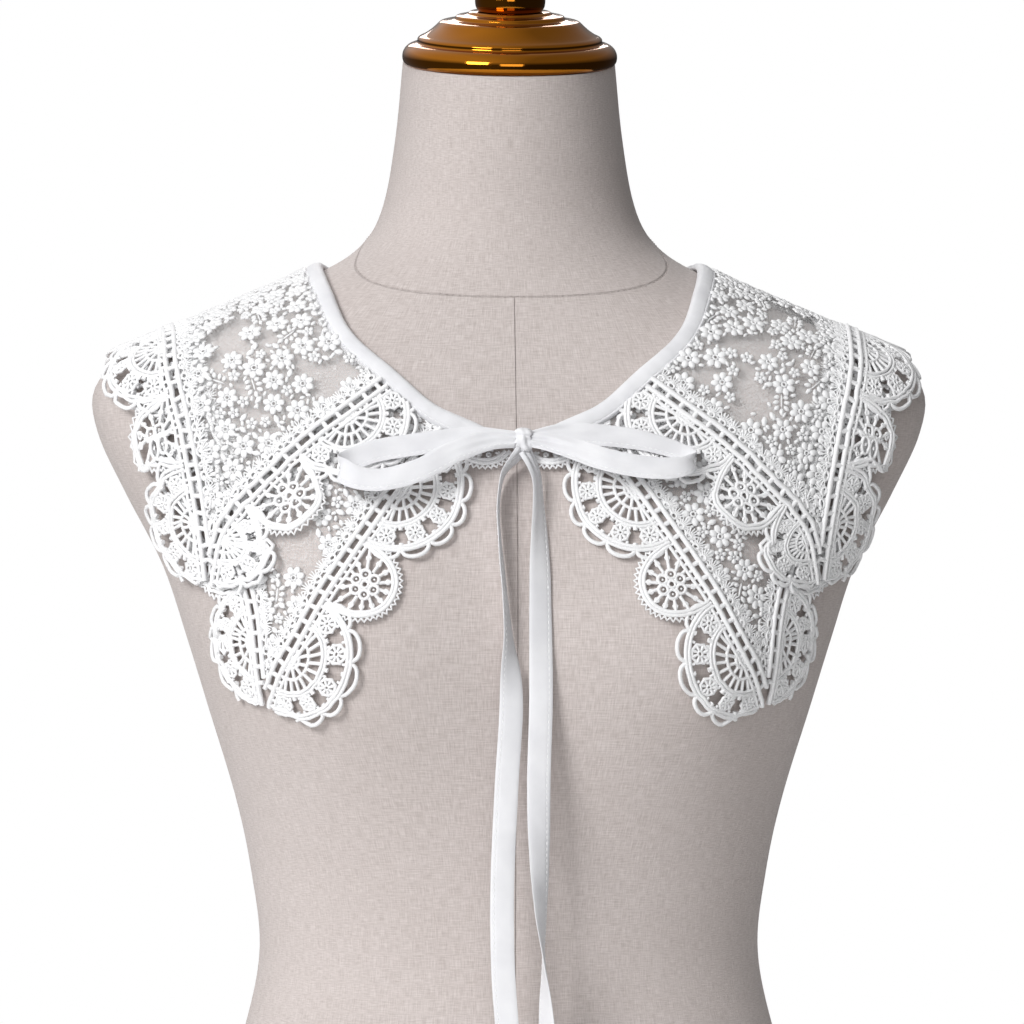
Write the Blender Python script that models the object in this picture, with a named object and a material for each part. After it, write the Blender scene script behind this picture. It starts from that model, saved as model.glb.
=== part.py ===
"""Two-tier lace collar with a tied bow, lying on a limbless dress form with a turned neck cap.

The form stands on Z = 0 and faces -Y. Every size below is in millimetres.
"""
import math

import bmesh
import bpy
import numpy as np
from mathutils import Vector
from mathutils.geometry import delaunay_2d_cdt

MM = 0.001

# Dress form: one row for each level, bottom to top.
# Columns: height, half width, front depth, back depth, squareness, forward lean of the level.
FORM_LEVELS = (
    (0, 159, 88, 108, 2.30, 0.0),
    (7, 164, 93, 114, 2.30, 0.0),
    (60, 163, 96, 118, 2.35, 0.0),
    (110, 147, 92, 107, 2.30, 0.0),
    (160, 129, 84, 90, 2.25, 0.0),
    (198, 122, 80, 81, 2.20, 0.0),
    (235, 126, 84, 83, 2.20, 0.0),
    (270, 133, 92, 88, 2.30, 0.0),
    (318, 147, 103, 96, 2.40, 0.0),
    (350, 157, 107, 101, 2.50, 0.0),
    (385, 169, 105, 105, 2.60, 0.0),
    (420, 187, 100, 107, 2.80, 0.0),
    (448, 200, 94, 106, 3.00, 0.0),
    (466, 203, 88, 103, 3.10, 0.0),
    (477, 198, 84, 100, 2.95, 0.0),
    (487, 183, 80, 96, 2.70, 0.0),
    (497, 161, 76, 92, 2.45, 0.0),
    (507, 138, 72, 88, 2.25, 0.0),
    (517, 115, 68, 83, 2.10, 0.0),
    (527, 94, 64, 77, 2.00, 0.0),
    (537, 77, 60, 70, 2.00, 0.01),
    (548, 67, 57, 62, 2.00, 0.03),
    (563, 61, 56, 55, 2.00, 0.07),
    (595, 55.5, 59, 48, 2.00, 0.15),
    (631, 52, 62, 42, 2.00, 0.22),
)
BUST_SIDE, BUST_HEIGHT, BUST_RISE = 80, 342, 17
BUST_SPREAD_X, BUST_SPREAD_Z = 50, 58
BOX_MIDDLE = (0.0, -1.65, 0.0)
FORM_COLUMNS = 44
FORM_RINGS = 27
SHOULDER_HEIGHT = 455

# Neck cap and finial: turned about the neck's axis. Columns: radius, height over the neck's top.
CAP_PROFILE = (
    (0, 0.3), (51.0, 0.3), (52.3, 2.4), (52.3, 5.8), (50.6, 9.0), (47.6, 10.6), (45.2, 11.0),
    (44.5, 13.0), (42.0, 14.6), (36.6, 18.6), (33.2, 21.6), (27.4, 22.4), (25.6, 24.0),
    (20.6, 24.8), (19.2, 26.2), (0, 26.2),
)
FINIAL_PROFILE = (
    (0, 26.5), (16.0, 26.5), (17.2, 30.0), (16.4, 35.5), (11.8, 41.0), (10.6, 44.0),
    (12.8, 48.0), (13.4, 52.0), (11.0, 57.5), (6.0, 61.5), (0, 62.8),
)
CAP_SIDES = 24

# Each layer is laid out on the skin unrolled round the neck, from this level down.
CHART_TOP = 563.0
CHART_NECK = 60.0
STRIP_STEP = 3.0
STRIP_ROW = 2.0

# Neckline: the middle of the binding. Columns: view, across, up or back.
NECKLINE = (
    ("front", 3, 441.5),
    ("front", 10, 443),
    ("front", 18.7, 446.2),
    ("front", 40.4, 457.4),
    ("front", 60, 472.4),
    ("front", 79.2, 491),
    ("front", 89.5, 512.5),
    ("top", 93, 5),
    ("top", 88, 29),
    ("top", 73, 53),
    ("top", 50, 69),
    ("top", 25, 77),
    ("top", 0, 79.5),
)
BINDING_WIDTH = 9.5
BINDING_LOW, BINDING_HIGH = 0.9, 5.2
BINDING_STEPS = 30
BINDING_END = 7.0

# Seam lines of the edging lace, as the middle of its ladder row. Columns: view, across, up or back.
UPPER_FRONT = (
    ("front", 62.7, 469),
    ("front", 79.5, 456.8),
    ("front", 91, 447.5),
    ("front", 103, 437.5),
    ("front", 117.4, 425.3),
    ("front", 131, 410.5),
    ("front", 137.5, 397),
    ("front", 140, 379.5),
)
UPPER_OUTER = (
    ("front", 140, 379.5),
    ("front", 146, 416.5),
    ("front", 154.7, 457.5),
    ("front", 161, 484),
    ("top", 164.5, 8),
    ("back", 160, 470),
    ("back", 150, 430),
    ("back", 128, 400),
    ("back", 90, 385),
    ("back", 45, 379),
    ("back", 0, 377),
)
LOWER_FRONT = (
    ("front", 29.5, 452.5),
    ("front", 41, 441),
    ("front", 50, 431),
    ("front", 57, 421.5),
    ("front", 72, 400.5),
    ("front", 86.8, 378.5),
    ("front", 101, 354),
    ("front", 111, 336),
    ("front", 115.3, 322),
)
LOWER_OUTER = (
    ("front", 115.3, 322),
    ("front", 119.5, 354.5),
    ("front", 127.7, 390.8),
    ("front", 139, 440),
    ("top", 153, 8),
    ("back", 147, 465),
    ("back", 140, 410),
    ("back", 124, 370),
    ("back", 88, 354),
    ("back", 45, 348),
    ("back", 0, 346),
)
# Layers over the form: how high each wall's two faces lie.
LOWER_LIFT, UPPER_LIFT = 1.8, 4.8
NET_THICK, LACE_THICK = 1.0, 1.2
SEAM_GAP = 0.4
TIP_REACH = 60.0
LACE_INNER = -8.0
NET_GRID = 30.0
NET_BEND = math.radians(20)
EDGE_STEP = 15.0
SEAM_STEP = 17.0
LONGEST_EDGE = 17.0
EDGE_BEND = math.radians(24)
CROWDED = 1.2

# Scallops of the edging, from the seam outwards.
ARC_BASE = 3.5
WIDE_DEPTH, NARROW_DEPTH = 26.5, 24.5
WIDE_FULL = 58.0
WIDE_LEAST = 0.72
SCALLOP_APART = 0.6
NARROW_POWER = 0.7
CORD_HALF = 1.5
PICOT_DEPTH = 4.6
PICOT_START = 0.16
# Gaps: across, along the seam, and how far their middle lies in from the scallop's outer cord.
ROSETTE_GAP = (6.4, 6.2, 5.2)
CLOVER_GAP = (5.2, 4.8, 5.0)
CORNER_GAP = (5.4, 5.0, 6.0)
CLOVER_SHARES = (0.06, 0.35, 0.65, 0.94)
GAP_SIDES = 4
# Order of the scallops from the tip: W is wide with rosettes, N is narrow with a clover; width in mm.
# The outer edges end in the middle of their last scallop, at the centre back.
UPPER_FRONT_ORDER = (("W", 44), ("N", 33), ("W", 56), ("N", 33))
LOWER_FRONT_ORDER = (("W", 60), ("N", 34), ("W", 60), ("N", 33))
UPPER_OUTER_ORDER = (("W", 58), ("N", 34)) * 5 + (("W", 58),)
LOWER_OUTER_ORDER = (("W", 58), ("N", 34)) * 6 + (("W", 58),)
ROSETTE_PITCH = 12.0

# Bow: tape centre lines, left loop then right. Columns: across, up from the knot, lift off the form.
TAPE_WIDTH, TAPE_THICK = 11.0, 1.2
KNOT_CENTRE = (2.5, 444.0)
KNOT_SIZE = (11.0, 10.0, 12.5)
KNOT_LIFT = 6.0
KNOT_RINGS, KNOT_SIDES = 7, 12
KNOT_SWELL = 5
LOOP_LEFT = (
    (-5.4, 1, 9.1, 7),
    (-22, 1.5, 8.3, 10),
    (-46, -1.5, 8.7, 11),
    (-70, -5.5, 9.3, 11),
    (-80, -9.5, 11.1, 11),
    (-84.5, -12.5, 15.5, 11),
    (-80, -16.5, 19.9, 11),
    (-68, -18.5, 20.5, 11),
    (-50, -14.5, 20.1, 11),
    (-31, -5, 17.3, 10.6),
    (-14, 0, 14.3, 9),
    (-5.4, 0, 12.9, 7),
)
LOOP_RIGHT = (
    (5.4, 1, 9.1, 7),
    (18, 3, 8.1, 10),
    (34, 1.8, 7.9, 11),
    (54, -2, 8.9, 11),
    (72, -6, 10.1, 11),
    (79, -8.5, 14.1, 11),
    (74, -11.5, 18.3, 11),
    (60, -13, 18.9, 11),
    (44, -10.5, 18.5, 11),
    (28, -6, 16.3, 10.6),
    (13, -1.5, 13.9, 9),
    (5.4, 0, 12.9, 7),
)
LOOP_STEPS = 26
LOOP_LEAN = 0.35
# Hanging ends. Columns: across, height, quarter turns of the tape, lift off the form.
TIE_LEFT = (
    (1.2, 437.5, 0.50, 11.0),
    (-2.6, 434.2, 0.70, 9.4),
    (-6.6, 429, 0.86, 7.8),
    (-9.2, 416, 0.93, 7.4),
    (-8.6, 398, 0.93, 7.4),
    (-6.8, 377, 0.88, 7.0),
    (-4.6, 352, 0.70, 5.6),
    (-3.4, 323, 0.12, 3.4),
    (-5.6, 284, 0.02, 0.0),
    (-7.6, 236, 0.00, 0.0),
    (-7.2, 198, -0.05, 0.0),
    (-5.1, 166, -0.08, 0.0),
    (-4.2, 122, 0.05, 0.0),
)
TIE_RIGHT = (
    (3.8, 437.1, 0.50, 11.0),
    (6.2, 433.6, 0.66, 9.2),
    (8.6, 427, 0.74, 7.4),
    (9.6, 414, 0.66, 6.6),
    (10.0, 392, 0.40, 5.0),
    (10.2, 365, 0.20, 3.6),
    (10.4, 323, 0.05, 3.2),
    (9.4, 284, 0.08, 0.0),
    (10.0, 240, 0.45, 0.0),
    (11.4, 206, 0.95, 0.0),
    (13.2, 172, 1.45, 0.0),
    (13.8, 146, 1.75, 0.0),
    (13.6, 108, 1.95, 0.0),
)
TIE_STEPS = 24
TIE_START = 0.75

# Colours: base colour, metallic, roughness.
MATERIALS = {
    "linen": ((0.62, 0.58, 0.54), 0.0, 0.85),
    "gilt": ((0.62, 0.36, 0.06), 1.0, 0.18),
    "net": ((0.90, 0.90, 0.91), 0.0, 0.80),
    "lace": ((0.93, 0.93, 0.94), 0.0, 0.75),
    "tape": ((0.93, 0.93, 0.95), 0.0, 0.65),
}


def smooth_rows(rows, steps):
    """Rows of numbers joined by a smooth curve through every row, read at even steps of its length."""
    rows = np.array(rows, float)
    spans = np.linalg.norm(np.diff(rows, axis=0), axis=1)
    knots = np.concatenate([[0], np.cumsum(np.maximum(spans, 1e-9) ** 0.5)])
    slopes = np.gradient(rows, knots, axis=0)
    fine = np.linspace(0, knots[-1], 60 * len(rows))
    cell = np.clip(np.searchsorted(knots, fine, side="right") - 1, 0, len(rows) - 2)
    width = (knots[cell + 1] - knots[cell])[:, None]
    t = (fine - knots[cell])[:, None] / width
    a, b = rows[cell], rows[cell + 1]
    ga, gb = slopes[cell] * width, slopes[cell + 1] * width
    curve = ((2 * t**3 - 3 * t**2 + 1) * a + (t**3 - 2 * t**2 + t) * ga
             + (3 * t**2 - 2 * t**3) * b + (t**3 - t**2) * gb)
    return evenly(curve, steps)


def evenly(curve, steps):
    """A polyline read again at even steps of its length."""
    along = np.concatenate([[0], np.cumsum(np.linalg.norm(np.diff(curve, axis=0), axis=1))])
    at = np.linspace(0, along[-1], steps + 1)
    return np.stack([np.interp(at, along, curve[:, k]) for k in range(curve.shape[1])], axis=1)


def length_of(curve):
    return float(np.linalg.norm(np.diff(curve, axis=0), axis=1).sum())


class FormSurface:
    """The form's skin, measured by its angle from the front and the distance down from the neck."""

    ANGLES = 721
    LEVELS = 340

    def __init__(self):
        levels = smooth_rows(FORM_LEVELS, self.LEVELS)[::-1]
        height, half_width, front, back, square, lean = levels.T
        self.angles = np.linspace(-math.pi, math.pi, self.ANGLES)
        sine = np.abs(np.sin(self.angles))[:, None]
        cosine = np.cos(self.angles)[:, None]
        depth = np.where(cosine > 0, front, back)
        radius = ((sine / half_width) ** square + (np.abs(cosine) / depth) ** square) ** (-1 / square)
        across = radius * sine
        forward = radius * cosine
        rise = BUST_RISE * np.exp(-(((across - BUST_SIDE) / BUST_SPREAD_X) ** 2)
                                  - ((height - BUST_HEIGHT) / BUST_SPREAD_Z) ** 2)
        radius = radius + rise * np.clip(cosine, 0, 1) ** 0.5
        tall = height - lean * forward
        self.radius, self.tall = radius, tall
        steps = np.hypot(np.diff(radius, axis=1), np.diff(tall, axis=1))
        down = np.concatenate([np.zeros((self.ANGLES, 1)), np.cumsum(steps, axis=1)], axis=1)
        start = int(np.argmin(np.abs(height - CHART_TOP)))
        self.down = down - down[:, start:start + 1]
        turn = self.angles[:, None]
        self.points = np.stack([radius * np.sin(turn), -radius * np.cos(turn), tall], axis=2)

    def at(self, chart):
        """Points of the skin for chart points, which are the skin unrolled round the neck."""
        chart = np.atleast_2d(chart)
        angle = np.arctan2(chart[:, 0], -chart[:, 1])
        down = np.hypot(chart[:, 0], chart[:, 1]) - CHART_NECK
        place = (angle + math.pi) / (2 * math.pi) * (self.ANGLES - 1)
        low = np.clip(place.astype(int), 0, self.ANGLES - 2)
        share = place - low
        out = np.zeros((len(chart), 2))
        for i, (k, f, d) in enumerate(zip(low, share, down)):
            for column, weight in ((k, 1 - f), (k + 1, f)):
                out[i, 0] += weight * np.interp(d, self.down[column], self.radius[column])
                out[i, 1] += weight * np.interp(d, self.down[column], self.tall[column])
        return np.stack([out[:, 0] * np.sin(angle), -out[:, 0] * np.cos(angle), out[:, 1]], axis=1)

    def normals(self, chart, step=1.5):
        """Outward directions of the skin at chart points."""
        chart = np.atleast_2d(chart)
        dx = self.at(chart + (step, 0)) - self.at(chart - (step, 0))
        dy = self.at(chart + (0, step)) - self.at(chart - (0, step))
        out = np.cross(dx, dy)
        return out / np.linalg.norm(out, axis=1)[:, None]

    def chart_of(self, points):
        """Chart points for points on or near the skin."""
        points = np.atleast_2d(points)
        angle = np.arctan2(points[:, 0], -points[:, 1])
        far = np.hypot(points[:, 0], points[:, 1])
        column = np.clip(np.round((angle + math.pi) / (2 * math.pi) * (self.ANGLES - 1)), 0,
                         self.ANGLES - 1).astype(int)
        out = np.zeros((len(points), 2))
        for i, k in enumerate(column):
            gap = np.hypot(self.radius[k] - far[i], self.tall[k] - points[i, 2])
            j = int(np.argmin(gap))
            down = self.foot(k, j, far[i], points[i, 2])
            reach = CHART_NECK + down
            out[i] = (reach * math.sin(angle[i]), -reach * math.cos(angle[i]))
        return out

    def foot(self, column, level, far, tall):
        """Distance down a column to the foot of the perpendicular from a point near that level."""
        best, found = 1e9, self.down[column, level]
        for a in (max(level - 1, 0), min(level, self.LEVELS - 1)):
            b = a + 1
            dr = self.radius[column, b] - self.radius[column, a]
            dz = self.tall[column, b] - self.tall[column, a]
            size = dr * dr + dz * dz
            if size < 1e-12:
                continue
            t = ((far - self.radius[column, a]) * dr + (tall - self.tall[column, a]) * dz) / size
            t = min(max(t, 0), 1)
            gap = math.hypot(self.radius[column, a] + t * dr - far, self.tall[column, a] + t * dz - tall)
            if gap < best:
                best = gap
                found = self.down[column, a] + t * (self.down[column, b] - self.down[column, a])
        return found

    def seen(self, view, across, other):
        """The skin's point that shows at a place in the front, back or top view."""
        x, y, z = self.points[..., 0], self.points[..., 1], self.points[..., 2]
        if view == "top":
            gap = np.hypot(x - across, y - other) + np.where(z < SHOULDER_HEIGHT, 1000, 0)
        else:
            hidden = y > 0 if view == "front" else y < 0
            gap = np.hypot(x - across, z - other) + np.where(hidden, 1000, 0)
        return self.points[np.unravel_index(int(np.argmin(gap)), gap.shape)]

    def front_depth(self, across, height):
        """How far forward the skin lies at a place in the front view."""
        return -self.seen("front", across, height)[1]


SKIN = FormSurface()


def skin_path(rows, steps):
    """A smooth line on the skin through places given by view, in chart points."""
    points = SKIN.chart_of([SKIN.seen(*row) for row in rows])
    return smooth_rows(points, steps)


class Band:
    """A strip along a line on the skin: distance along it, and distance outwards across the skin."""

    def __init__(self, path, outwards, inner=-14.0, outer=38.0, more=0.0):
        """path is in chart points; outwards is 1 or -1; more runs it on past its end."""
        line = SKIN.at(path)
        if more:
            ahead = line[-1] - line[-3]
            tail = line[-1] + ahead / np.linalg.norm(ahead) * np.linspace(3, more, 8)[:, None]
            line = SKIN.at(np.vstack([path, SKIN.chart_of(tail)]))
        self.length = length_of(SKIN.at(path))
        count = max(8, int(length_of(line) / STRIP_STEP))
        line = evenly(line, count)
        self.span = length_of(line)
        self.along = np.linspace(0, self.span, count + 1)
        self.across = np.arange(inner, outer + 0.1, STRIP_ROW)
        zero = int(np.argmin(np.abs(self.across)))
        self.across -= self.across[zero]
        grid = np.zeros((count + 1, len(self.across), 3))
        grid[:, zero] = line
        for way in (1, -1):
            here = line.copy()
            k = zero
            while 0 <= k + way < len(self.across):
                normal = SKIN.normals(SKIN.chart_of(here))
                ahead = np.gradient(here, axis=0)
                side = np.cross(ahead, normal) * outwards * way
                side /= np.linalg.norm(side, axis=1)[:, None]
                if way == 1:
                    side = self.evened(side)
                here = SKIN.at(SKIN.chart_of(here + side * STRIP_ROW))
                k += way
                grid[:, k] = here
        self.chart = SKIN.chart_of(grid.reshape(-1, 3)).reshape(count + 1, len(self.across), 2)

    @staticmethod
    def evened(side):
        """Side directions averaged with their neighbours, so that the strip's rows stay fair."""
        for _ in range(2):
            inner = (side[:-2] + 2 * side[1:-1] + side[2:]) / 4
            side = np.vstack([side[:1], inner, side[-1:]])
        return side / np.linalg.norm(side, axis=1)[:, None]

    def line(self, across):
        """The chart line at a distance across the strip, through its stations."""
        return self.at([(s, across) for s in stepped(0.0, self.span - 0.5, EDGE_STEP)])

    def at(self, places):
        """Chart points for (along, across) places of the strip."""
        places = np.atleast_2d(places)
        u = np.clip(places[:, 0] / self.span * (len(self.along) - 1), 0, len(self.along) - 1.001)
        v = np.clip((places[:, 1] - self.across[0]) / STRIP_ROW, 0, len(self.across) - 1.001)
        i, j = u.astype(int), v.astype(int)
        f, g = (u - i)[:, None], (v - j)[:, None]
        grid = self.chart
        return ((1 - f) * ((1 - g) * grid[i, j] + g * grid[i, j + 1])
                + f * ((1 - g) * grid[i + 1, j] + g * grid[i + 1, j + 1]))


def mirrored(chart):
    """The same chart points on the other side of the collar, in the turned-round order."""
    return np.asarray(chart)[::-1] * (-1, 1)


def material(name):
    found = bpy.data.materials.get(name)
    if found:
        return found
    colour, metallic, roughness = MATERIALS[name]
    made = bpy.data.materials.new(name)
    made.use_nodes = True
    shader = made.node_tree.nodes["Principled BSDF"]
    shader.inputs["Base Color"].default_value = (*colour, 1)
    shader.inputs["Metallic"].default_value = metallic
    shader.inputs["Roughness"].default_value = roughness
    made.diffuse_color = (*colour, 1)
    return made


def add_object(name, points, faces, finish, smooth_angle=None):
    """A named object from points in millimetres, moved so that the whole stands over the origin."""
    mesh = bpy.data.meshes.new(name)
    mesh.from_pydata(((np.asarray(points) - BOX_MIDDLE) * MM).tolist(), [], faces)
    mesh.materials.append(material(finish))
    if smooth_angle:
        mesh.shade_smooth()
        mesh.set_sharp_from_angle(angle=math.radians(smooth_angle))
    made = bpy.data.objects.new(name, mesh)
    bpy.context.scene.collection.objects.link(made)
    return made


def flat_region(inside, cut_out, extra=()):
    """Triangles of the area inside one outline and outside all the others, in the chart."""
    points, faces = [], []
    for outline in (inside, *cut_out):
        outline = turned_left(divided(np.asarray(outline)))
        faces.append(list(range(len(points), len(points) + len(outline))))
        points += [Vector((float(x), float(y))) for x, y in outline]
    points += [Vector((float(x), float(y))) for x, y in extra]
    flat, _, triangles, _, _, parents = delaunay_2d_cdt(points, [], faces, 0, 1e-4)
    kept = [tuple(t) for t, owner in zip(triangles, parents) if list(owner) == [0]]
    kept = without_pinches(largest_piece(kept))
    used = sorted({i for t in kept for i in t})
    place = {old: new for new, old in enumerate(used)}
    return np.array([flat[i] for i in used]), [tuple(place[i] for i in t) for t in kept]


def divided(outline):
    """The outline with its long edges divided, and its crowded points thinned."""
    out = [outline[0]]
    for point in outline[1:]:
        if np.linalg.norm(point - out[-1]) > CROWDED:
            out.append(point)
    if np.linalg.norm(out[0] - out[-1]) < CROWDED:
        out.pop()
    out = np.array(out)
    ends = np.roll(out, -1, axis=0)
    far = np.linalg.norm(SKIN.at(ends) - SKIN.at(out), axis=1) / LONGEST_EDGE
    turn = np.arccos(np.clip((SKIN.normals(ends) * SKIN.normals(out)).sum(1), -1, 1)) / EDGE_BEND
    parts = np.ceil(np.maximum(np.maximum(far, turn), 1)).astype(int)
    return np.array([a + (b - a) * k / n for a, b, n in zip(out, ends, parts) for k in range(n)])


def turned_left(outline):
    """The outline in anticlockwise order."""
    x, y = outline[:, 0], outline[:, 1]
    area = (x * np.roll(y, -1) - np.roll(x, -1) * y).sum()
    return outline if area > 0 else outline[::-1]


def largest_piece(triangles):
    """The biggest group of triangles that are joined by their edges."""
    owner = {}
    for k, t in enumerate(triangles):
        for a, b in ((t[0], t[1]), (t[1], t[2]), (t[2], t[0])):
            owner.setdefault((min(a, b), max(a, b)), []).append(k)
    joined = [[] for _ in triangles]
    for pair in owner.values():
        if len(pair) == 2:
            joined[pair[0]].append(pair[1])
            joined[pair[1]].append(pair[0])
    left, best = set(range(len(triangles))), []
    while left:
        group, todo = [], [left.pop()]
        while todo:
            k = todo.pop()
            group.append(k)
            for other in joined[k]:
                if other in left:
                    left.discard(other)
                    todo.append(other)
        if len(group) > len(best):
            best = group
    return [triangles[k] for k in sorted(best)]


def without_pinches(triangles):
    """The triangles less those that meet the rest at a single point only."""
    while True:
        edges = {(t[k], t[(k + 1) % 3]) for t in triangles for k in range(3)}
        starts = [a for a, b in edges if (b, a) not in edges]
        pinched = {a for a in starts if starts.count(a) > 1}
        if not pinched:
            return triangles
        spot = min(pinched)
        triangles = largest_piece([t for t in triangles if spot not in t or not small_fan(t, spot, triangles)])


def small_fan(triangle, spot, triangles):
    """Whether a triangle belongs to the smaller of the fans that meet at a point."""
    around = [t for t in triangles if spot in t]
    groups = []
    while around:
        group = [around.pop()]
        grown = True
        while grown:
            grown = False
            for other in list(around):
                if any(len(set(other) & set(t)) == 2 for t in group):
                    group.append(other)
                    around.remove(other)
                    grown = True
        groups.append(group)
    largest = max(groups, key=len)
    return triangle not in largest


def cloth_wall(name, region, low, thick, finish):
    """A closed wall over a flat region of the chart, standing low to low + thick over the skin."""
    flat, triangles = region
    skin, out = SKIN.at(flat), SKIN.normals(flat)
    count = len(flat)
    points = np.vstack([skin + out * low, skin + out * (low + thick)])
    corner = np.cross(points[triangles[0][1]] - points[triangles[0][0]],
                      points[triangles[0][2]] - points[triangles[0][0]])
    if corner @ out[triangles[0][0]] < 0:
        triangles = [t[::-1] for t in triangles]
    faces = [tuple(i + count for i in t) for t in triangles] + [t[::-1] for t in triangles]
    edges = {(t[k], t[(k + 1) % 3]) for t in triangles for k in range(3)}
    for a, b in sorted(edges):
        if (b, a) not in edges:
            faces.append((a, b, b + count))
            faces.append((a, b + count, a + count))
    return add_object(name, points, faces, finish)


def ring_solid(name, rings, finish, closed=False, smooth_angle=40):
    """A solid through rings of points, capped at both ends unless it closes on itself."""
    rings = np.asarray(rings)
    count, sides = rings.shape[:2]
    faces = []
    for i in range(count if closed else count - 1):
        a, b = i * sides, (i + 1) % count * sides
        for k in range(sides):
            j = (k + 1) % sides
            faces.append((a + k, a + j, b + j, b + k))
    if not closed:
        faces.append(tuple(range(sides))[::-1])
        faces.append(tuple(range((count - 1) * sides, count * sides)))
    made = add_object(name, rings.reshape(-1, 3), faces, finish, smooth_angle)
    shape = bmesh.new()
    shape.from_mesh(made.data)
    bmesh.ops.recalc_face_normals(shape, faces=shape.faces)
    bmesh.ops.triangulate(shape, faces=shape.faces)
    shape.to_mesh(made.data)
    shape.free()
    return made


# Dress form, neck cap and finial

def form_angles():
    """Column angles at even distances round the form at shoulder height."""
    level = int(np.argmin(np.abs(SKIN.tall[SKIN.ANGLES // 2] - SHOULDER_HEIGHT)))
    ring = SKIN.points[:, level]
    along = np.concatenate([[0], np.cumsum(np.linalg.norm(np.diff(ring, axis=0), axis=1))])
    return np.interp(np.linspace(0, along[-1], FORM_COLUMNS + 1)[:-1], along, SKIN.angles)


def build_form():
    """The linen body from hip to neck, with a flat underside."""
    columns = np.round((form_angles() + math.pi) / (2 * math.pi) * (SKIN.ANGLES - 1)).astype(int)
    middle = SKIN.points[SKIN.ANGLES * 3 // 4]
    along = np.concatenate([[0], np.cumsum(np.linalg.norm(np.diff(middle, axis=0), axis=1))])
    levels = np.searchsorted(along, np.linspace(0, along[-1], FORM_RINGS + 1))
    levels = np.clip(levels, 0, SKIN.LEVELS)
    rings = [SKIN.points[columns, level] for level in levels[::-1]]
    return ring_solid("dress_form", rings, "linen")


def neck_axis():
    """Centre and direction of the neck's top."""
    top = SKIN.points[:, 0]
    centre = (top[0] + top[SKIN.ANGLES // 2]) / 2
    lean = FORM_LEVELS[-1][-1]
    up = np.array([0, -lean, 1.0])
    return centre, up / np.linalg.norm(up)


def turned(name, profile):
    """A piece turned about the neck's axis."""
    centre, up = neck_axis()
    side = np.array([1.0, 0, 0])
    back = np.cross(up, side)
    turns = np.linspace(0, 2 * math.pi, CAP_SIDES, endpoint=False)
    rings = [centre + up * height + radius * (np.outer(np.cos(turns), side) + np.outer(np.sin(turns), back))
             for radius, height in profile[1:-1]]
    return ring_solid(name, rings, "gilt", smooth_angle=30)


# Lines on the skin

# The binding's strip runs from the centre front round to the centre back, on the wearer's left.
NECK_BAND = Band(skin_path(NECKLINE, 120), 1, inner=-8, outer=8)


def neck_stations():
    """Distances along the binding's strip at which its sections stand."""
    return np.linspace(BINDING_END, NECK_BAND.length, BINDING_STEPS)


def neck_side(across):
    """The chart line at a distance across the binding, from front to back on the +X side."""
    return NECK_BAND.at([(s, across) for s in (0.0, *neck_stations())])


def neck_hole(margin):
    """The closed outline of everything inside the binding's outer edge."""
    side = neck_side(BINDING_WIDTH / 2 + margin)
    return joined_halves(beyond_middle(side))


# Edging lace

def scallop_arc(kind, width):
    """Half width, depth and picot count of a scallop's outer cord."""
    wide = WIDE_DEPTH * (WIDE_LEAST + (1 - WIDE_LEAST) * min(width / WIDE_FULL, 1))
    if kind == "N":
        return width / 2 - SCALLOP_APART, NARROW_DEPTH, 0
    return width / 2 - SCALLOP_APART, wide, rosette_count(width) + 1


def rosette_count(width):
    return max(3, round(width / ROSETTE_PITCH))


def bowl(centre, half, depth, turn, power=1.0):
    """A point on a scallop's curve; turn runs from 0 at its start to pi at its end."""
    rise = math.sin(turn) ** power
    return (centre - half * math.cos(turn), ARC_BASE + depth * rise)


def scallop_outline(kind, start, width):
    """The scallop's edge from its start to its end, picots included."""
    centre = start + width / 2
    half, depth, picots = scallop_arc(kind, width)
    if kind == "N":
        turns = np.linspace(0.0, math.pi, 8)
        return [bowl(centre, half, depth + CORD_HALF * 0.8, t, NARROW_POWER) for t in turns]
    edge = []
    reach = depth + CORD_HALF
    stops = np.linspace(PICOT_START, math.pi - PICOT_START, picots + 1)
    edge.append(bowl(centre, half, reach, 0.0))
    for a, b in zip(stops[:-1], stops[1:]):
        edge.append(bowl(centre, half + CORD_HALF * 0.4, reach, a))
        edge.append(bowl(centre, half + PICOT_DEPTH * 0.7, reach + PICOT_DEPTH, (a + b) / 2))
    edge.append(bowl(centre, half + CORD_HALF * 0.4, reach, stops[-1]))
    edge.append(bowl(centre, half, reach, math.pi))
    return [(min(max(x, start + 0.4), start + width - 0.4), y) for x, y in edge]


def oval(x, y, size, turn=0.0):
    """An oval gap."""
    out = []
    for k in range(GAP_SIDES):
        a = 2 * math.pi * (k + 0.5) / GAP_SIDES
        u, v = size[0] / 2 * math.cos(a), size[1] / 2 * math.sin(a)
        out.append((x + u * math.cos(turn) - v * math.sin(turn), y + u * math.sin(turn) + v * math.cos(turn)))
    return out


def scallop_gaps(kind, start, width):
    """The gaps over 4 mm in one scallop."""
    centre = start + width / 2
    half, depth, _ = scallop_arc(kind, width)
    gaps = []
    if kind == "N":
        inset = CLOVER_GAP[2]
        for turn in np.multiply(CLOVER_SHARES, math.pi):
            x, y = bowl(centre, half - inset, depth - inset + 0.4, turn, NARROW_POWER)
            gaps.append(oval(x, max(y, ARC_BASE + CLOVER_GAP[1] * 0.7), CLOVER_GAP, turn))
        return gaps
    count = rosette_count(width)
    for k in range(1, count):
        turn = math.pi * k / count
        x, y = bowl(centre, half - ROSETTE_GAP[2], depth - ROSETTE_GAP[2] - 0.2, turn)
        gaps.append(oval(x, y, ROSETTE_GAP, turn))
    for side in (-1, 1):
        x = centre + side * (half - CORNER_GAP[2])
        gaps.append(oval(x, ARC_BASE + CORNER_GAP[1] * 0.72, CORNER_GAP))
    return gaps


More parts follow.
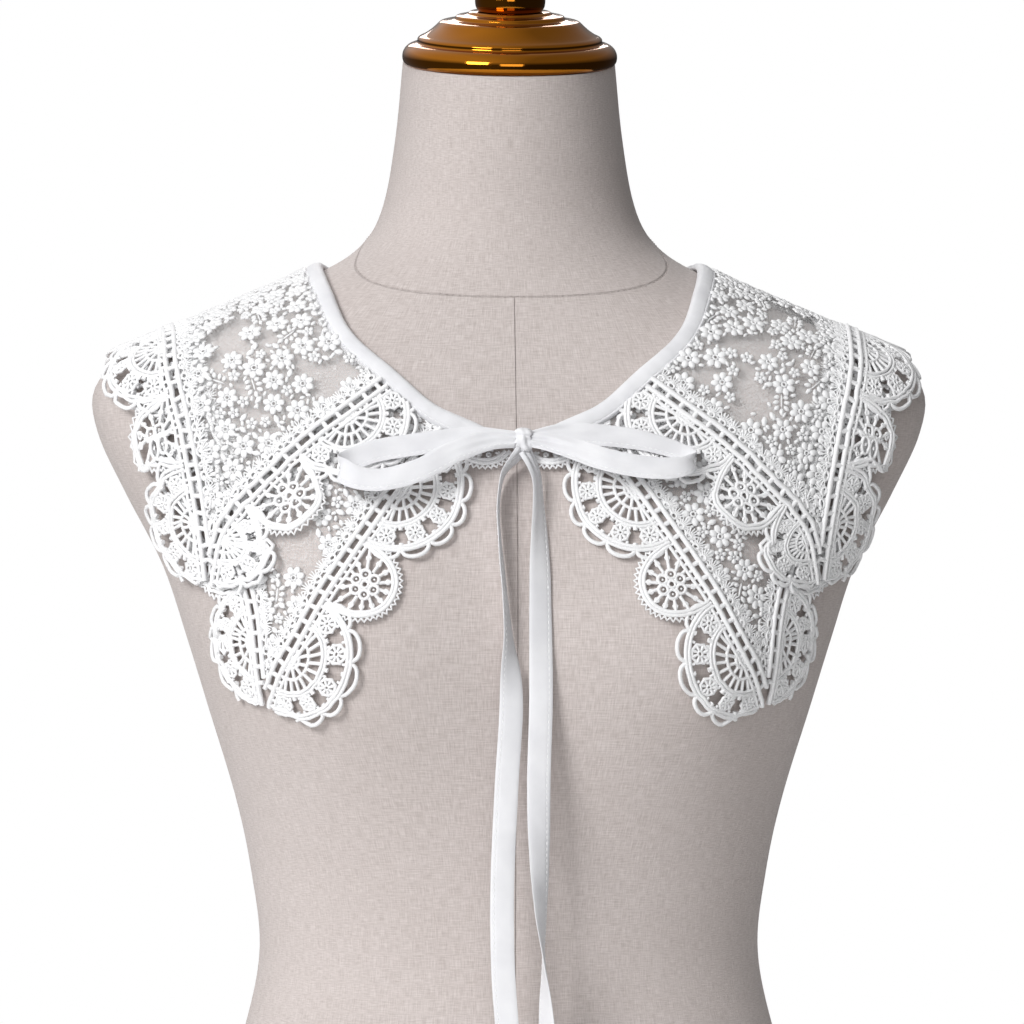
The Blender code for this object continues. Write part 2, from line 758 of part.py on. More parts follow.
def laid_out(order, length=None):
    """Kind, start and width of each scallop from the tip, stretched so that the last one's middle
    lies at the length if a length is given."""
    plain = sum(width for _, width in order) - order[-1][1] / 2
    scale = length / plain if length else 1.0
    out, start = [], 0.0
    for kind, width in order:
        out.append((kind, start, width * scale))
        start += width * scale
    return out


def lace_lines(scallops, end):
    """Edge, gaps and seam points of the edging in its band, up to a given length."""
    edge, gaps, seam = [], [], []
    for kind, start, width in scallops:
        edge += scallop_outline(kind, start, width)
        gaps += scallop_gaps(kind, start, width)
        seam += [(s, -1.5) for s in stepped(start, start + width, SEAM_STEP)[:-1]]
    edge = [(x, y) for x, y in edge if x <= end]
    gaps = [gap for gap in gaps if max(x for x, _ in gap) < end - 1]
    seam = [(x, y) for x, y in seam if 2 < x < end - 2]
    return edge, gaps, seam


def tip_cut(front, outer, keep_front):
    """A wide outline on one side of the mitre through the tip, so that two bands meet there."""
    tip = front.at([(0, 0)])[0]
    ways = [b.at([(20, 0)])[0] - tip for b in (front, outer)]
    ways = [w / np.linalg.norm(w) for w in ways]
    middle = ways[0] + ways[1]
    middle /= np.linalg.norm(middle)
    side = ways[1] - ways[0] if keep_front else ways[0] - ways[1]
    side -= middle * (side @ middle)
    side /= np.linalg.norm(side)
    near = tip - side * SEAM_GAP * 0.8
    line = [near + middle * far for far in np.arange(-TIP_REACH, TIP_REACH, 5.0)]
    return np.array(line + [p + side * TIP_REACH for p in line[::-1]])


def strip_outline(band, inner, outer):
    """A closed outline round a band between two distances across it, in the chart."""
    return np.vstack([band.line(inner), band.line(outer)[::-1]])


class Tier:
    """One layer of the collar: its seam lines on the +X side, and the regions that they bound."""

    def __init__(self, front_rows, outer_rows):
        self.front_path = skin_path(front_rows, 90)[::-1]
        self.outer_path = skin_path(outer_rows, 200)
        self.front = Band(self.front_path, -1, more=24.0)
        self.outer = Band(self.outer_path, 1, more=8.0)

    def net(self):
        """The net's region: one piece from front edge to front edge round the back."""
        neck = neck_side(0.0)
        angle = np.arctan2(neck[:, 0], -neck[:, 1])
        starts = np.arctan2(self.front_path[-1, 0], -self.front_path[-1, 1])
        neck = beyond_middle(neck[angle > starts])
        outer = beyond_middle(self.outer_path)
        half = np.vstack([neck[::-1], self.front_path[::-1][1:-1], outer])
        outline = joined_halves(half)
        strip = strip_outline(self.front, LACE_INNER - SEAM_GAP, 3.0)
        hem = [beyond_middle(self.outer.line(across)) for across in (LACE_INNER - SEAM_GAP, 3.0)]
        hem = np.vstack([hem[0], mirrored(hem[0]), mirrored(hem[1])[::-1], hem[1][::-1]])
        cut = [strip, mirrored(strip), hem, neck_hole(SEAM_GAP)]
        return flat_region(outline, cut, self.grid(outline, cut))

    @staticmethod
    def grid(outline, cut):
        """Points inside an outline, clear of its edges and of what is cut out, closer on tight curves."""
        low, high = outline.min(0), outline.max(0)
        step = NET_GRID / 2
        shapes = [outline, *cut]
        out = []
        for r, y in enumerate(np.arange(low[1], high[1], step)):
            xs = np.arange(low[0] + step / 2, high[0], step)
            places = np.stack([xs, np.full(len(xs), y)], axis=1)
            tight = bending(places, step) > NET_BEND
            for c, place in enumerate(places):
                coarse = r % 2 == 0 and c % 2 == 0
                if not (coarse or tight[c]) or not within(place, outline):
                    continue
                if any(within(place, shape) for shape in cut):
                    continue
                if min(clearance(place, shape) for shape in shapes) > step * 0.7:
                    out.append(place)
        return out

    def front_lace(self, order):
        scallops = laid_out(order)
        cut = [neck_hole(SEAM_GAP), tip_cut(self.front, self.outer, True)]
        edge, gaps, seam = lace_lines(scallops, self.front.span - 0.5)
        outline = np.vstack([self.front.at(edge), self.front.line(LACE_INNER)[::-1]])
        return flat_region(outline, [self.front.at(gap) for gap in gaps] + cut, self.front.at(seam))

    def outer_lace(self, order):
        """The edging from tip to tip: one half laid out, and its mirror image joined to it."""
        scallops = laid_out(order, self.outer.length)
        edge, gaps, seam = lace_lines(scallops, self.outer.span - 0.5)
        edge = beyond_middle(self.outer.at(edge))
        inner = beyond_middle(self.outer.line(LACE_INNER))
        outline = np.vstack([edge, mirrored(edge), mirrored(inner)[::-1], inner[::-1]])
        tip = tip_cut(self.front, self.outer, False)
        cut = [self.outer.at(gap) for gap in gaps]
        cut = [gap for gap in cut if gap[:, 0].min() > 0.6]
        cut += [mirrored(gap) for gap in cut] + [tip, mirrored(tip)]
        seam = beyond_middle(self.outer.at(seam))
        return flat_region(outline, cut, np.vstack([seam, mirrored(seam)]))


def stepped(start, end, step):
    return np.linspace(start, end, max(2, round((end - start) / step) + 1))


def beyond_middle(chart):
    """The chart points on the +X side, less those too near the middle."""
    return chart[chart[:, 0] > 0.6]


def joined_halves(half):
    """A closed outline from its +X half, given from the middle round to the middle."""
    return np.vstack([half, mirrored(half)])


def bending(places, step):
    """How far the skin turns across each place, in radians."""
    turns = []
    for way in ((step, 0), (0, step)):
        dots = (SKIN.normals(places + way) * SKIN.normals(places - np.array(way))).sum(1)
        turns.append(np.arccos(np.clip(dots, -1, 1)))
    return np.maximum(*turns)


def within(point, outline):
    """Whether a flat point lies inside a closed outline."""
    x, y = outline[:, 0], outline[:, 1]
    nx, ny = np.roll(x, -1), np.roll(y, -1)
    crossing = (y > point[1]) != (ny > point[1])
    with np.errstate(divide="ignore", invalid="ignore"):
        at = x + (point[1] - y) * (nx - x) / (ny - y)
    return bool(np.count_nonzero(crossing & (point[0] < at)) % 2)


def clearance(point, outline):
    """Distance from a flat point to a closed outline."""
    a, b = outline, np.roll(outline, -1, axis=0)
    d = b - a
    t = np.clip(((point - a) * d).sum(1) / np.maximum((d * d).sum(1), 1e-12), 0, 1)
    return float(np.linalg.norm(a + t[:, None] * d - point, axis=1).min())


def both_sides(name, region, low, thick, finish):
    """A wall on the wearer's left (+X) and its mirror image on the right."""
    flat, triangles = region
    cloth_wall(name + "_left", region, low, thick, finish)
    other = flat * (-1, 1)
    cloth_wall(name + "_right", (other, [t[::-1] for t in triangles]), low, thick, finish)


def build_tier(name, tier, lift, orders):
    """Net and edging lace of one layer."""
    cloth_wall(name + "_net", tier.net(), lift, NET_THICK, "net")
    both_sides(name + "_front_lace", tier.front_lace(orders[0]), lift, LACE_THICK, "lace")
    cloth_wall(name + "_outer_lace", tier.outer_lace(orders[1]), lift, LACE_THICK, "lace")


# Binding and ties

def build_binding():
    """The folded tape round the neckline, open at the knot."""
    half, low, high = BINDING_WIDTH / 2, BINDING_LOW, BINDING_HIGH
    section = ((-half, low + 0.7), (-half + 1.0, high - 0.4), (half - 1.0, high),
               (half, low + 1.6), (half - 1.2, low), (-half + 1.2, low))
    right = []
    for s in neck_stations():
        flat = NECK_BAND.at([(s, t) for t, _ in section])
        lift = np.array([h for _, h in section])[:, None]
        right.append(SKIN.at(flat) + SKIN.normals(flat) * lift)
    left = [ring * (-1, 1, 1) for ring in right[:-1]]
    ring_solid("neck_binding", right + left[::-1], "tape")


def tape(name, rows, steps):
    """A flat tape along a smooth line. Columns: across, height, lift off the form, width."""
    rows = smooth_rows(rows, steps)
    centre = np.array([(x, -SKIN.front_depth(x, z) - lift, z) for x, z, lift, _ in rows])
    centre[:, 1] = np.convolve(np.pad(centre[:, 1], 2, mode="edge"), (0.1, 0.2, 0.4, 0.2, 0.1), "valid")
    ahead = np.gradient(centre, axis=0)
    ahead /= np.linalg.norm(ahead, axis=1)[:, None]
    rings = []
    for k, (p, t) in enumerate(zip(centre, ahead)):
        wide = np.array([0, LOOP_LEAN, 1.0])
        wide = wide - t * (wide @ t)
        wide /= np.linalg.norm(wide)
        out = np.cross(t, wide)
        half, thick = rows[k, 3] / 2, TAPE_THICK / 2
        rings.append([p + wide * half + out * thick, p - wide * half + out * thick,
                      p - wide * half - out * thick, p + wide * half - out * thick])
    return ring_solid(name, rings, "tape", smooth_angle=60)


def build_bow():
    """Two loops, the knot between them and the two hanging ends."""
    knot_x, knot_z = KNOT_CENTRE
    for name, rows in (("bow_loop_right", LOOP_LEFT), ("bow_loop_left", LOOP_RIGHT)):
        tape(name, [(knot_x + x, knot_z + z, lift, width) for x, z, lift, width in rows], LOOP_STEPS)
    build_knot(knot_x, knot_z)
    for name, rows in (("tie_end_right", TIE_LEFT), ("tie_end_left", TIE_RIGHT)):
        hanging_end(name, rows)


def hanging_end(name, rows):
    """A tape end that lies down the chest as far as the bust and hangs plumb below it."""
    rows = smooth_rows(rows, TIE_STEPS)
    deepest = 0.0
    placed = []
    for x, z, turn, lift in rows:
        skin = SKIN.front_depth(x, z)
        deepest = max(deepest, skin + lift)
        placed.append((x, z, deepest - skin, TAPE_WIDTH))
    turns = rows[:, 2] * math.pi / 2

    def facing(k):
        return np.array([math.cos(turns[k]), math.sin(turns[k]), 0.0])

    centre = np.array([(x, -SKIN.front_depth(x, z) - lift, z) for x, z, lift, _ in placed])
    ahead = np.gradient(centre, axis=0)
    ahead /= np.linalg.norm(ahead, axis=1)[:, None]
    rings = []
    for k, (p, t) in enumerate(zip(centre, ahead)):
        wide = facing(k) - t * (facing(k) @ t)
        wide /= np.linalg.norm(wide)
        out = np.cross(t, wide)
        half = TAPE_WIDTH / 2 * (TIE_START if k == 0 else 1.0)
        thick = TAPE_THICK / 2
        rings.append([p + wide * half + out * thick, p - wide * half + out * thick,
                      p - wide * half - out * thick, p + wide * half - out * thick])
    return ring_solid(name, rings, "tape", smooth_angle=60)


def build_knot(knot_x, knot_z):
    """A rounded lump of tape."""
    wide, deep, tall = KNOT_SIZE
    depth = SKIN.front_depth(knot_x, knot_z) + KNOT_LIFT + deep / 2
    rings = []
    turns = np.linspace(0, 2 * math.pi, KNOT_SIDES, endpoint=False)
    for share in np.linspace(-0.94, 0.94, KNOT_RINGS):
        swell = (1 - abs(share) ** KNOT_SWELL) ** 0.5
        rings.append([(knot_x + wide / 2 * swell * math.cos(a), -depth + deep / 2 * swell * math.sin(a),
                       knot_z + tall / 2 * share) for a in turns])
    ring_solid("bow_knot", rings, "tape")


def main():
    for old in list(bpy.data.objects):
        bpy.data.objects.remove(old)
    build_form()
    turned("neck_cap", CAP_PROFILE)
    turned("finial", FINIAL_PROFILE)
    lower = Tier(LOWER_FRONT, LOWER_OUTER)
    upper = Tier(UPPER_FRONT, UPPER_OUTER)
    build_tier("lower", lower, LOWER_LIFT, (LOWER_FRONT_ORDER, LOWER_OUTER_ORDER))
    build_tier("upper", upper, UPPER_LIFT, (UPPER_FRONT_ORDER, UPPER_OUTER_ORDER))
    build_binding()
    build_bow()


main()
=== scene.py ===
import math

import bmesh
import bpy
import numpy as np
from mathutils import Matrix, Vector
from mathutils.geometry import delaunay_2d_cdt


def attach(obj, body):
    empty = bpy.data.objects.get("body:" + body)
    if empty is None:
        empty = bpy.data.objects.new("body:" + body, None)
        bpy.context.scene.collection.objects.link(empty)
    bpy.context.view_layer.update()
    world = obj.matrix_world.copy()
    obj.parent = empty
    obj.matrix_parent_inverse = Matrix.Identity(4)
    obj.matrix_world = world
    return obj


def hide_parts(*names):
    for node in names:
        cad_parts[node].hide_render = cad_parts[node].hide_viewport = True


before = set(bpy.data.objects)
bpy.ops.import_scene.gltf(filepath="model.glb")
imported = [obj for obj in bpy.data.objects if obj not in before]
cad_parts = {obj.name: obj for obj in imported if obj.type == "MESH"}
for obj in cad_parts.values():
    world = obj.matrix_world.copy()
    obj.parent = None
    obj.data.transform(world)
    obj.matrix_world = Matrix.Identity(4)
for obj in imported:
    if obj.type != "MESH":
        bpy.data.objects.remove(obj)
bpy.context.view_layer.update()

mm = 0.001
boxMiddle = np.array([0.0, -1.65, 0.0])  # the part's box is centred over the origin
scene = bpy.context.scene

# The form's skin. Every place on the collar is worked out from it, in millimetres.
# Levels: height, half width, front depth, back depth, squareness, forward lean.
formShape = {
    "levels": (
        (0, 159, 88, 108, 2.30, 0.0), (7, 164, 93, 114, 2.30, 0.0), (60, 163, 96, 118, 2.35, 0.0),
        (110, 147, 92, 107, 2.30, 0.0), (160, 129, 84, 90, 2.25, 0.0), (198, 122, 80, 81, 2.20, 0.0),
        (235, 126, 84, 83, 2.20, 0.0), (270, 133, 92, 88, 2.30, 0.0), (318, 147, 103, 96, 2.40, 0.0),
        (350, 157, 107, 101, 2.50, 0.0), (385, 169, 105, 105, 2.60, 0.0), (420, 187, 100, 107, 2.80, 0.0),
        (448, 200, 94, 106, 3.00, 0.0), (466, 203, 88, 103, 3.10, 0.0), (477, 198, 84, 100, 2.95, 0.0),
        (487, 183, 80, 96, 2.70, 0.0), (497, 161, 76, 92, 2.45, 0.0), (507, 138, 72, 88, 2.25, 0.0),
        (517, 115, 68, 83, 2.10, 0.0), (527, 94, 64, 77, 2.00, 0.0), (537, 77, 60, 70, 2.00, 0.01),
        (548, 67, 57, 62, 2.00, 0.03), (563, 61, 56, 55, 2.00, 0.07), (595, 55.5, 59, 48, 2.00, 0.15),
        (631, 52, 62, 42, 2.00, 0.22),
    ),
    "bust": {"side": 80, "height": 342, "rise": 17, "spreadX": 50, "spreadZ": 58},
    "columns": 216, "rings": 170,
}
# Places: view, across, then up (front and back) or back (top).
collarLines = {
    "neckline": (("front", 3, 441.5), ("front", 10, 443), ("front", 18.7, 446.2), ("front", 40.4, 457.4),
                 ("front", 60, 472.4), ("front", 79.2, 491), ("front", 89.5, 512.5), ("top", 93, 5),
                 ("top", 88, 29), ("top", 73, 53), ("top", 50, 69), ("top", 25, 77), ("top", 0, 79.5)),
    "upperFront": (("front", 62.7, 469), ("front", 79.5, 456.8), ("front", 91, 447.5), ("front", 103, 437.5),
                   ("front", 117.4, 425.3), ("front", 131, 410.5), ("front", 137.5, 397),
                   ("front", 140, 379.5)),
    "upperOuter": (("front", 140, 379.5), ("front", 146, 416.5), ("front", 154.7, 457.5),
                   ("front", 161, 484), ("top", 164.5, 8), ("back", 160, 470), ("back", 150, 430),
                   ("back", 128, 400), ("back", 90, 385), ("back", 45, 379), ("back", 0, 377)),
    "lowerFront": (("front", 29.5, 452.5), ("front", 41, 441), ("front", 50, 431), ("front", 57, 421.5),
                   ("front", 72, 400.5), ("front", 86.8, 378.5), ("front", 101, 354), ("front", 111, 336),
                   ("front", 115.3, 322)),
    "lowerOuter": (("front", 115.3, 322), ("front", 119.5, 354.5), ("front", 127.7, 390.8),
                   ("front", 139, 440), ("top", 153, 8), ("back", 147, 465), ("back", 140, 410),
                   ("back", 124, 370), ("back", 88, 354), ("back", 45, 348), ("back", 0, 346)),
}


def smoothRows(rows, steps):  # a smooth curve through every row, read at even steps
    rows = np.array(rows, float)
    spans = np.linalg.norm(np.diff(rows, axis=0), axis=1)
    knots = np.concatenate([[0], np.cumsum(np.maximum(spans, 1e-9) ** 0.5)])
    slopes = np.gradient(rows, knots, axis=0)
    fine = np.linspace(0, knots[-1], 60 * len(rows))
    cell = np.clip(np.searchsorted(knots, fine, side="right") - 1, 0, len(rows) - 2)
    width = (knots[cell + 1] - knots[cell])[:, None]
    t = (fine - knots[cell])[:, None] / width
    a, b = rows[cell], rows[cell + 1]
    ga, gb = slopes[cell] * width, slopes[cell + 1] * width
    curve = ((2 * t**3 - 3 * t**2 + 1) * a + (t**3 - 2 * t**2 + t) * ga
             + (3 * t**2 - 2 * t**3) * b + (t**3 - t**2) * gb)
    return evenly(curve, steps)


def evenly(curve, steps):
    along = np.concatenate([[0], np.cumsum(np.linalg.norm(np.diff(curve, axis=0), axis=1))])
    at = np.linspace(0, along[-1], steps + 1)
    return np.stack([np.interp(at, along, curve[:, k]) for k in range(curve.shape[1])], axis=1)


def lengthOf(curve):
    return float(np.linalg.norm(np.diff(curve, axis=0), axis=1).sum())


class FormSkin:
    # chart: the skin unrolled round the neck, by angle from the front and distance down
    def __init__(self, angles=721, levels=340, chartNeck=60.0, chartTop=563.0):
        self.chartNeck = chartNeck
        rows = smoothRows(formShape["levels"], levels)[::-1]
        height, halfWidth, front, back, square, lean = rows.T
        self.angles = np.linspace(-math.pi, math.pi, angles)
        sine = np.abs(np.sin(self.angles))[:, None]
        cosine = np.cos(self.angles)[:, None]
        depth = np.where(cosine > 0, front, back)
        radius = ((sine / halfWidth) ** square + (np.abs(cosine) / depth) ** square) ** (-1 / square)
        bust = formShape["bust"]
        swell = bust["rise"] * np.exp(-((radius * sine - bust["side"]) / bust["spreadX"]) ** 2
                                      - ((height - bust["height"]) / bust["spreadZ"]) ** 2)
        tall = height - lean * radius * cosine
        radius = radius + swell * np.clip(cosine, 0, 1) ** 0.5
        steps = np.hypot(np.diff(radius, axis=1), np.diff(tall, axis=1))
        down = np.concatenate([np.zeros((angles, 1)), np.cumsum(steps, axis=1)], axis=1)
        start = int(np.argmin(np.abs(height - chartTop)))
        down = down - down[:, start:start + 1]
        self.low = math.ceil(down[:, 0].max())
        self.high = math.floor(down[:, -1].min())
        self.even = np.arange(self.low, self.high + 1.0)
        self.radius = np.array([np.interp(self.even, d, r) for d, r in zip(down, radius)])
        self.tall = np.array([np.interp(self.even, d, z) for d, z in zip(down, tall)])
        self.raw = self.solid(radius, tall)
        self.points = self.solid(self.radius, self.tall)
        around = np.gradient(self.points, axis=0)
        around[0] = around[-1] = self.points[1] - self.points[-2]
        out = np.cross(np.gradient(self.points, axis=1), around)
        self.out = out / np.maximum(np.linalg.norm(out, axis=2), 1e-9)[:, :, None]

    def solid(self, radius, tall):
        turn = self.angles[:, None]
        return np.stack([radius * np.sin(turn), -radius * np.cos(turn), tall], axis=2)

    def read(self, field, chart):
        angle = np.arctan2(chart[:, 0], -chart[:, 1])
        u = (angle + math.pi) / (2 * math.pi) * (len(self.angles) - 1)
        v = np.clip(np.hypot(chart[:, 0], chart[:, 1]) - self.chartNeck - self.low, 0, len(self.even) - 1.001)
        i = np.clip(u.astype(int), 0, len(self.angles) - 2)
        j = v.astype(int)
        f, g = (u - i)[:, None], (v - j)[:, None]
        return ((1 - f) * ((1 - g) * field[i, j] + g * field[i, j + 1])
                + f * ((1 - g) * field[i + 1, j] + g * field[i + 1, j + 1]))

    def normal(self, chart):
        out = self.read(self.out, np.atleast_2d(chart))
        return out / np.linalg.norm(out, axis=1)[:, None]

    def at(self, chart, lift=0.0):
        chart = np.atleast_2d(chart)
        return self.read(self.points, chart) + self.normal(chart) * np.reshape(lift, (-1, 1))

    def chartOf(self, points):
        angle = np.arctan2(points[:, 0], -points[:, 1])
        far = np.hypot(points[:, 0], points[:, 1])
        column = np.round((angle + math.pi) / (2 * math.pi) * (len(self.angles) - 1)).astype(int)
        r, z = self.radius[column], self.tall[column]
        near = np.argmin(np.hypot(r - far[:, None], z - points[:, 2:3]), axis=1)
        near = np.clip(near, 1, len(self.even) - 2)
        row = np.arange(len(points))
        dr = (r[row, near + 1] - r[row, near - 1]) / 2
        dz = (z[row, near + 1] - z[row, near - 1]) / 2
        slip = (far - r[row, near]) * dr + (points[:, 2] - z[row, near]) * dz
        reach = self.chartNeck + self.even[near] + np.clip(slip / (dr * dr + dz * dz), -1, 1)
        return np.stack([reach * np.sin(angle), -reach * np.cos(angle)], axis=1)

    def seen(self, view, across, other):
        x, y, z = self.raw[..., 0], self.raw[..., 1], self.raw[..., 2]
        if view == "top":
            gap = np.hypot(x - across, y - other) + np.where(z < 455, 1000, 0)
        else:
            gap = np.hypot(x - across, z - other) + np.where(y > 0 if view == "front" else y < 0, 1000, 0)
        return self.raw[np.unravel_index(int(np.argmin(gap)), gap.shape)]

    def frontDepth(self, across, height):  # how far forward the skin lies, between its nearest points
        flat = self.raw.reshape(-1, 3)
        gap = np.hypot(flat[:, 0] - across, flat[:, 2] - height) + np.where(flat[:, 1] > 0, 1000, 0)
        near = np.argpartition(gap, 8)[:8]
        weight = 1 / (gap[near] + 0.05) ** 2
        return -float((flat[near, 1] * weight).sum() / weight.sum())


skin = FormSkin()
print("skin ready", len(skin.even), "mm deep")


def skinPath(name, steps):
    rows = skin.chartOf(np.array([skin.seen(*row) for row in collarLines[name]]))
    if abs(rows[-1, 0]) > 0.5:
        return smoothRows(rows, steps)
    # round the back: smoothed across the middle, then ended there
    curve = smoothRows(np.vstack([rows, rows[-2:-4:-1] * (-1, 1)]), steps * 3)
    last = int(np.argmax(curve[:, 0] < 0))
    near, past = curve[last - 1], curve[last]
    return evenly(np.vstack([curve[:last], near + (past - near) * near[0] / (near[0] - past[0])]), steps)


class Band:
    # a strip along a line on the skin: distance along it, and distance outwards across the skin
    def __init__(self, path, outwards, inner=-16.0, outer=40.0, more=0.0):
        line = skin.at(path)
        if more:
            ahead = line[-1] - line[-3]
            tail = line[-1] + ahead / np.linalg.norm(ahead) * np.linspace(3, more, 8)[:, None]
            line = skin.at(np.vstack([path, skin.chartOf(tail)]))
        self.length = lengthOf(skin.at(path))
        count = max(8, int(lengthOf(line) / 3.0))
        line = evenly(line, count)
        self.span = lengthOf(line)
        self.across = np.arange(inner, outer + 0.1, 2.0)
        zero = int(np.argmin(np.abs(self.across)))
        self.across -= self.across[zero]
        grid = np.zeros((count + 1, len(self.across), 3))
        grid[:, zero] = line
        for way in (1, -1):
            here, k = line.copy(), zero
            while 0 <= k + way < len(self.across):
                side = np.cross(np.gradient(here, axis=0), skin.normal(skin.chartOf(here))) * outwards * way
                side /= np.linalg.norm(side, axis=1)[:, None]
                for _ in range(2 if way == 1 else 0):
                    side = np.vstack([side[:1], (side[:-2] + 2 * side[1:-1] + side[2:]) / 4, side[-1:]])
                side /= np.linalg.norm(side, axis=1)[:, None]
                here = skin.at(skin.chartOf(here + side * 2.0))
                k += way
                grid[:, k] = here
        self.chart = skin.chartOf(grid.reshape(-1, 3)).reshape(count + 1, len(self.across), 2)

    def at(self, places):
        places = np.atleast_2d(places)
        rows, columns = self.chart.shape[:2]
        u = np.clip(places[:, 0] / self.span * (rows - 1), 0, rows - 1.001)
        v = np.clip((places[:, 1] - self.across[0]) / 2.0, 0, columns - 1.001)
        i, j = u.astype(int), v.astype(int)
        f, g = (u - i)[:, None], (v - j)[:, None]
        return ((1 - f) * ((1 - g) * self.chart[i, j] + g * self.chart[i, j + 1])
                + f * ((1 - g) * self.chart[i + 1, j] + g * self.chart[i + 1, j + 1]))

    def line(self, across, step=4.0):
        return self.at([(s, across) for s in stepped(0.0, self.span - 0.5, step)])


def stepped(start, end, step):
    return np.linspace(start, end, max(2, round((end - start) / step) + 1))


def mirrored(chart):
    return np.asarray(chart)[::-1] * (-1, 1)


def beyondMiddle(chart):
    return chart[chart[:, 0] > 0.6]


def inside(points, outline):
    x, y = outline[:, 0], outline[:, 1]
    nx, ny = np.roll(x, -1), np.roll(y, -1)
    px, py = points[:, :1], points[:, 1:2]
    crossing = (y > py) != (ny > py)
    with np.errstate(divide="ignore", invalid="ignore"):
        at = x + (py - y) * (nx - x) / (ny - y)
    return (np.count_nonzero(crossing & (px < at), axis=1) % 2).astype(bool)


def clearance(points, outline):
    a, b = outline, np.roll(outline, -1, axis=0)
    d = b - a
    best = np.full(len(points), 1e9)
    for start, way in zip(a, d):
        t = np.clip(((points - start) @ way) / max(way @ way, 1e-12), 0, 1)
        best = np.minimum(best, np.linalg.norm(start + t[:, None] * way - points, axis=1))
    return best


# Materials

def newMaterial(name):
    made = bpy.data.materials.new(name)
    made.use_nodes = True
    tree = made.node_tree
    shader = tree.nodes["Principled BSDF"]
    return made, tree, shader


def node(tree, kind, **values):
    made = tree.nodes.new(kind)
    for key, value in values.items():
        if key in made.inputs:
            made.inputs[key].default_value = value
        else:
            setattr(made, key, value)
    return made


def setInput(made, index, value):
    made.inputs[index].default_value = value
    return made


def link(tree, source, target):
    tree.links.new(source, target)


def objectPlace(tree, scale=(1, 1, 1)):
    coords = tree.nodes.new("ShaderNodeTexCoord")
    mapping = node(tree, "ShaderNodeMapping")
    mapping.inputs["Scale"].default_value = scale
    link(tree, coords.outputs["Object"], mapping.inputs["Vector"])
    return mapping.outputs["Vector"]


def ramp(tree, source, stops):
    made = tree.nodes.new("ShaderNodeValToRGB")
    elements = made.color_ramp.elements
    while len(elements) < len(stops):
        elements.new(0.5)
    for element, (at, colour) in zip(elements, stops):
        element.position = at
        element.color = (*colour, 1) if len(colour) == 3 else colour
    link(tree, source, made.inputs["Fac"])
    return made.outputs["Color"]


def bump(tree, shader, height, distance, strength=1.0, before=None):
    made = node(tree, "ShaderNodeBump", Strength=strength, Distance=distance)
    link(tree, height, made.inputs["Height"])
    if before is not None:
        link(tree, before, made.inputs["Normal"])
    link(tree, made.outputs["Normal"], shader.inputs["Normal"])
    return made.outputs["Normal"]


linenLook = {"light": (0.61, 0.552, 0.533), "dark": (0.455, 0.40, 0.38), "threadPitch": 0.5,
             "slubLength": 7.0, "roughness": 0.88}


def linenMaterial():
    made, tree, shader = newMaterial("linenCloth")
    uv = node(tree, "ShaderNodeUVMap", uv_map="cloth")
    pitch = linenLook["threadPitch"]
    fields = []
    for across, along in ((1 / pitch, 1 / linenLook["slubLength"]), (1 / linenLook["slubLength"], 1 / pitch)):
        mapping = node(tree, "ShaderNodeMapping")
        mapping.inputs["Scale"].default_value = (across, along, 1)
        link(tree, uv.outputs["UV"], mapping.inputs["Vector"])
        noise = node(tree, "ShaderNodeTexNoise", Scale=1.0, Detail=2.0, Roughness=0.65)
        link(tree, mapping.outputs["Vector"], noise.inputs["Vector"])
        fields.append(noise.outputs["Fac"])
    weave = node(tree, "ShaderNodeMath", operation="ADD")
    link(tree, fields[0], weave.inputs[0])
    link(tree, fields[1], weave.inputs[1])
    half = node(tree, "ShaderNodeMath", operation="MULTIPLY")
    half.inputs[1].default_value = 0.5
    link(tree, weave.outputs[0], half.inputs[0])
    threads = ramp(tree, half.outputs[0], ((0.36, linenLook["dark"]), (0.58, linenLook["light"]),
                                           (0.72, (0.69, 0.64, 0.62))))
    cloud = node(tree, "ShaderNodeTexNoise", Scale=14.0, Detail=3.0)
    link(tree, objectPlace(tree), cloud.inputs["Vector"])
    tint = ramp(tree, cloud.outputs["Fac"], ((0.3, (0.95, 0.945, 0.94)), (0.7, (1.0, 1.0, 1.0))))
    mix = node(tree, "ShaderNodeMix", data_type="RGBA", blend_type="MULTIPLY")
    mix.inputs[0].default_value = 1.0
    link(tree, threads, mix.inputs[6])
    link(tree, tint, mix.inputs[7])
    seams = seamMask(tree)
    # Painted shade: the cloth is darkened along the seams, in their groove, where shade would fall
    shade = node(tree, "ShaderNodeMix", data_type="RGBA", blend_type="MULTIPLY")
    soft = node(tree, "ShaderNodeMath", operation="MULTIPLY")
    soft.inputs[1].default_value = 0.2
    link(tree, seams, soft.inputs[0])
    link(tree, soft.outputs[0], shade.inputs[0])
    link(tree, mix.outputs[2], shade.inputs[6])
    shade.inputs[7].default_value = (0.62, 0.58, 0.54, 1)
    link(tree, shade.outputs[2], shader.inputs["Base Color"])
    shader.inputs["Roughness"].default_value = linenLook["roughness"]
    shader.inputs["Sheen Weight"].default_value = 0.12
    shader.inputs["Specular IOR Level"].default_value = 0.2
    first = bump(tree, shader, half.outputs[0], 0.00035, 0.9)
    bump(tree, shader, seams, -0.0007, 0.8, first)
    return made


seamPlace = {"neckHeight": 544.5, "neckFall": 0.47, "width": 0.45}
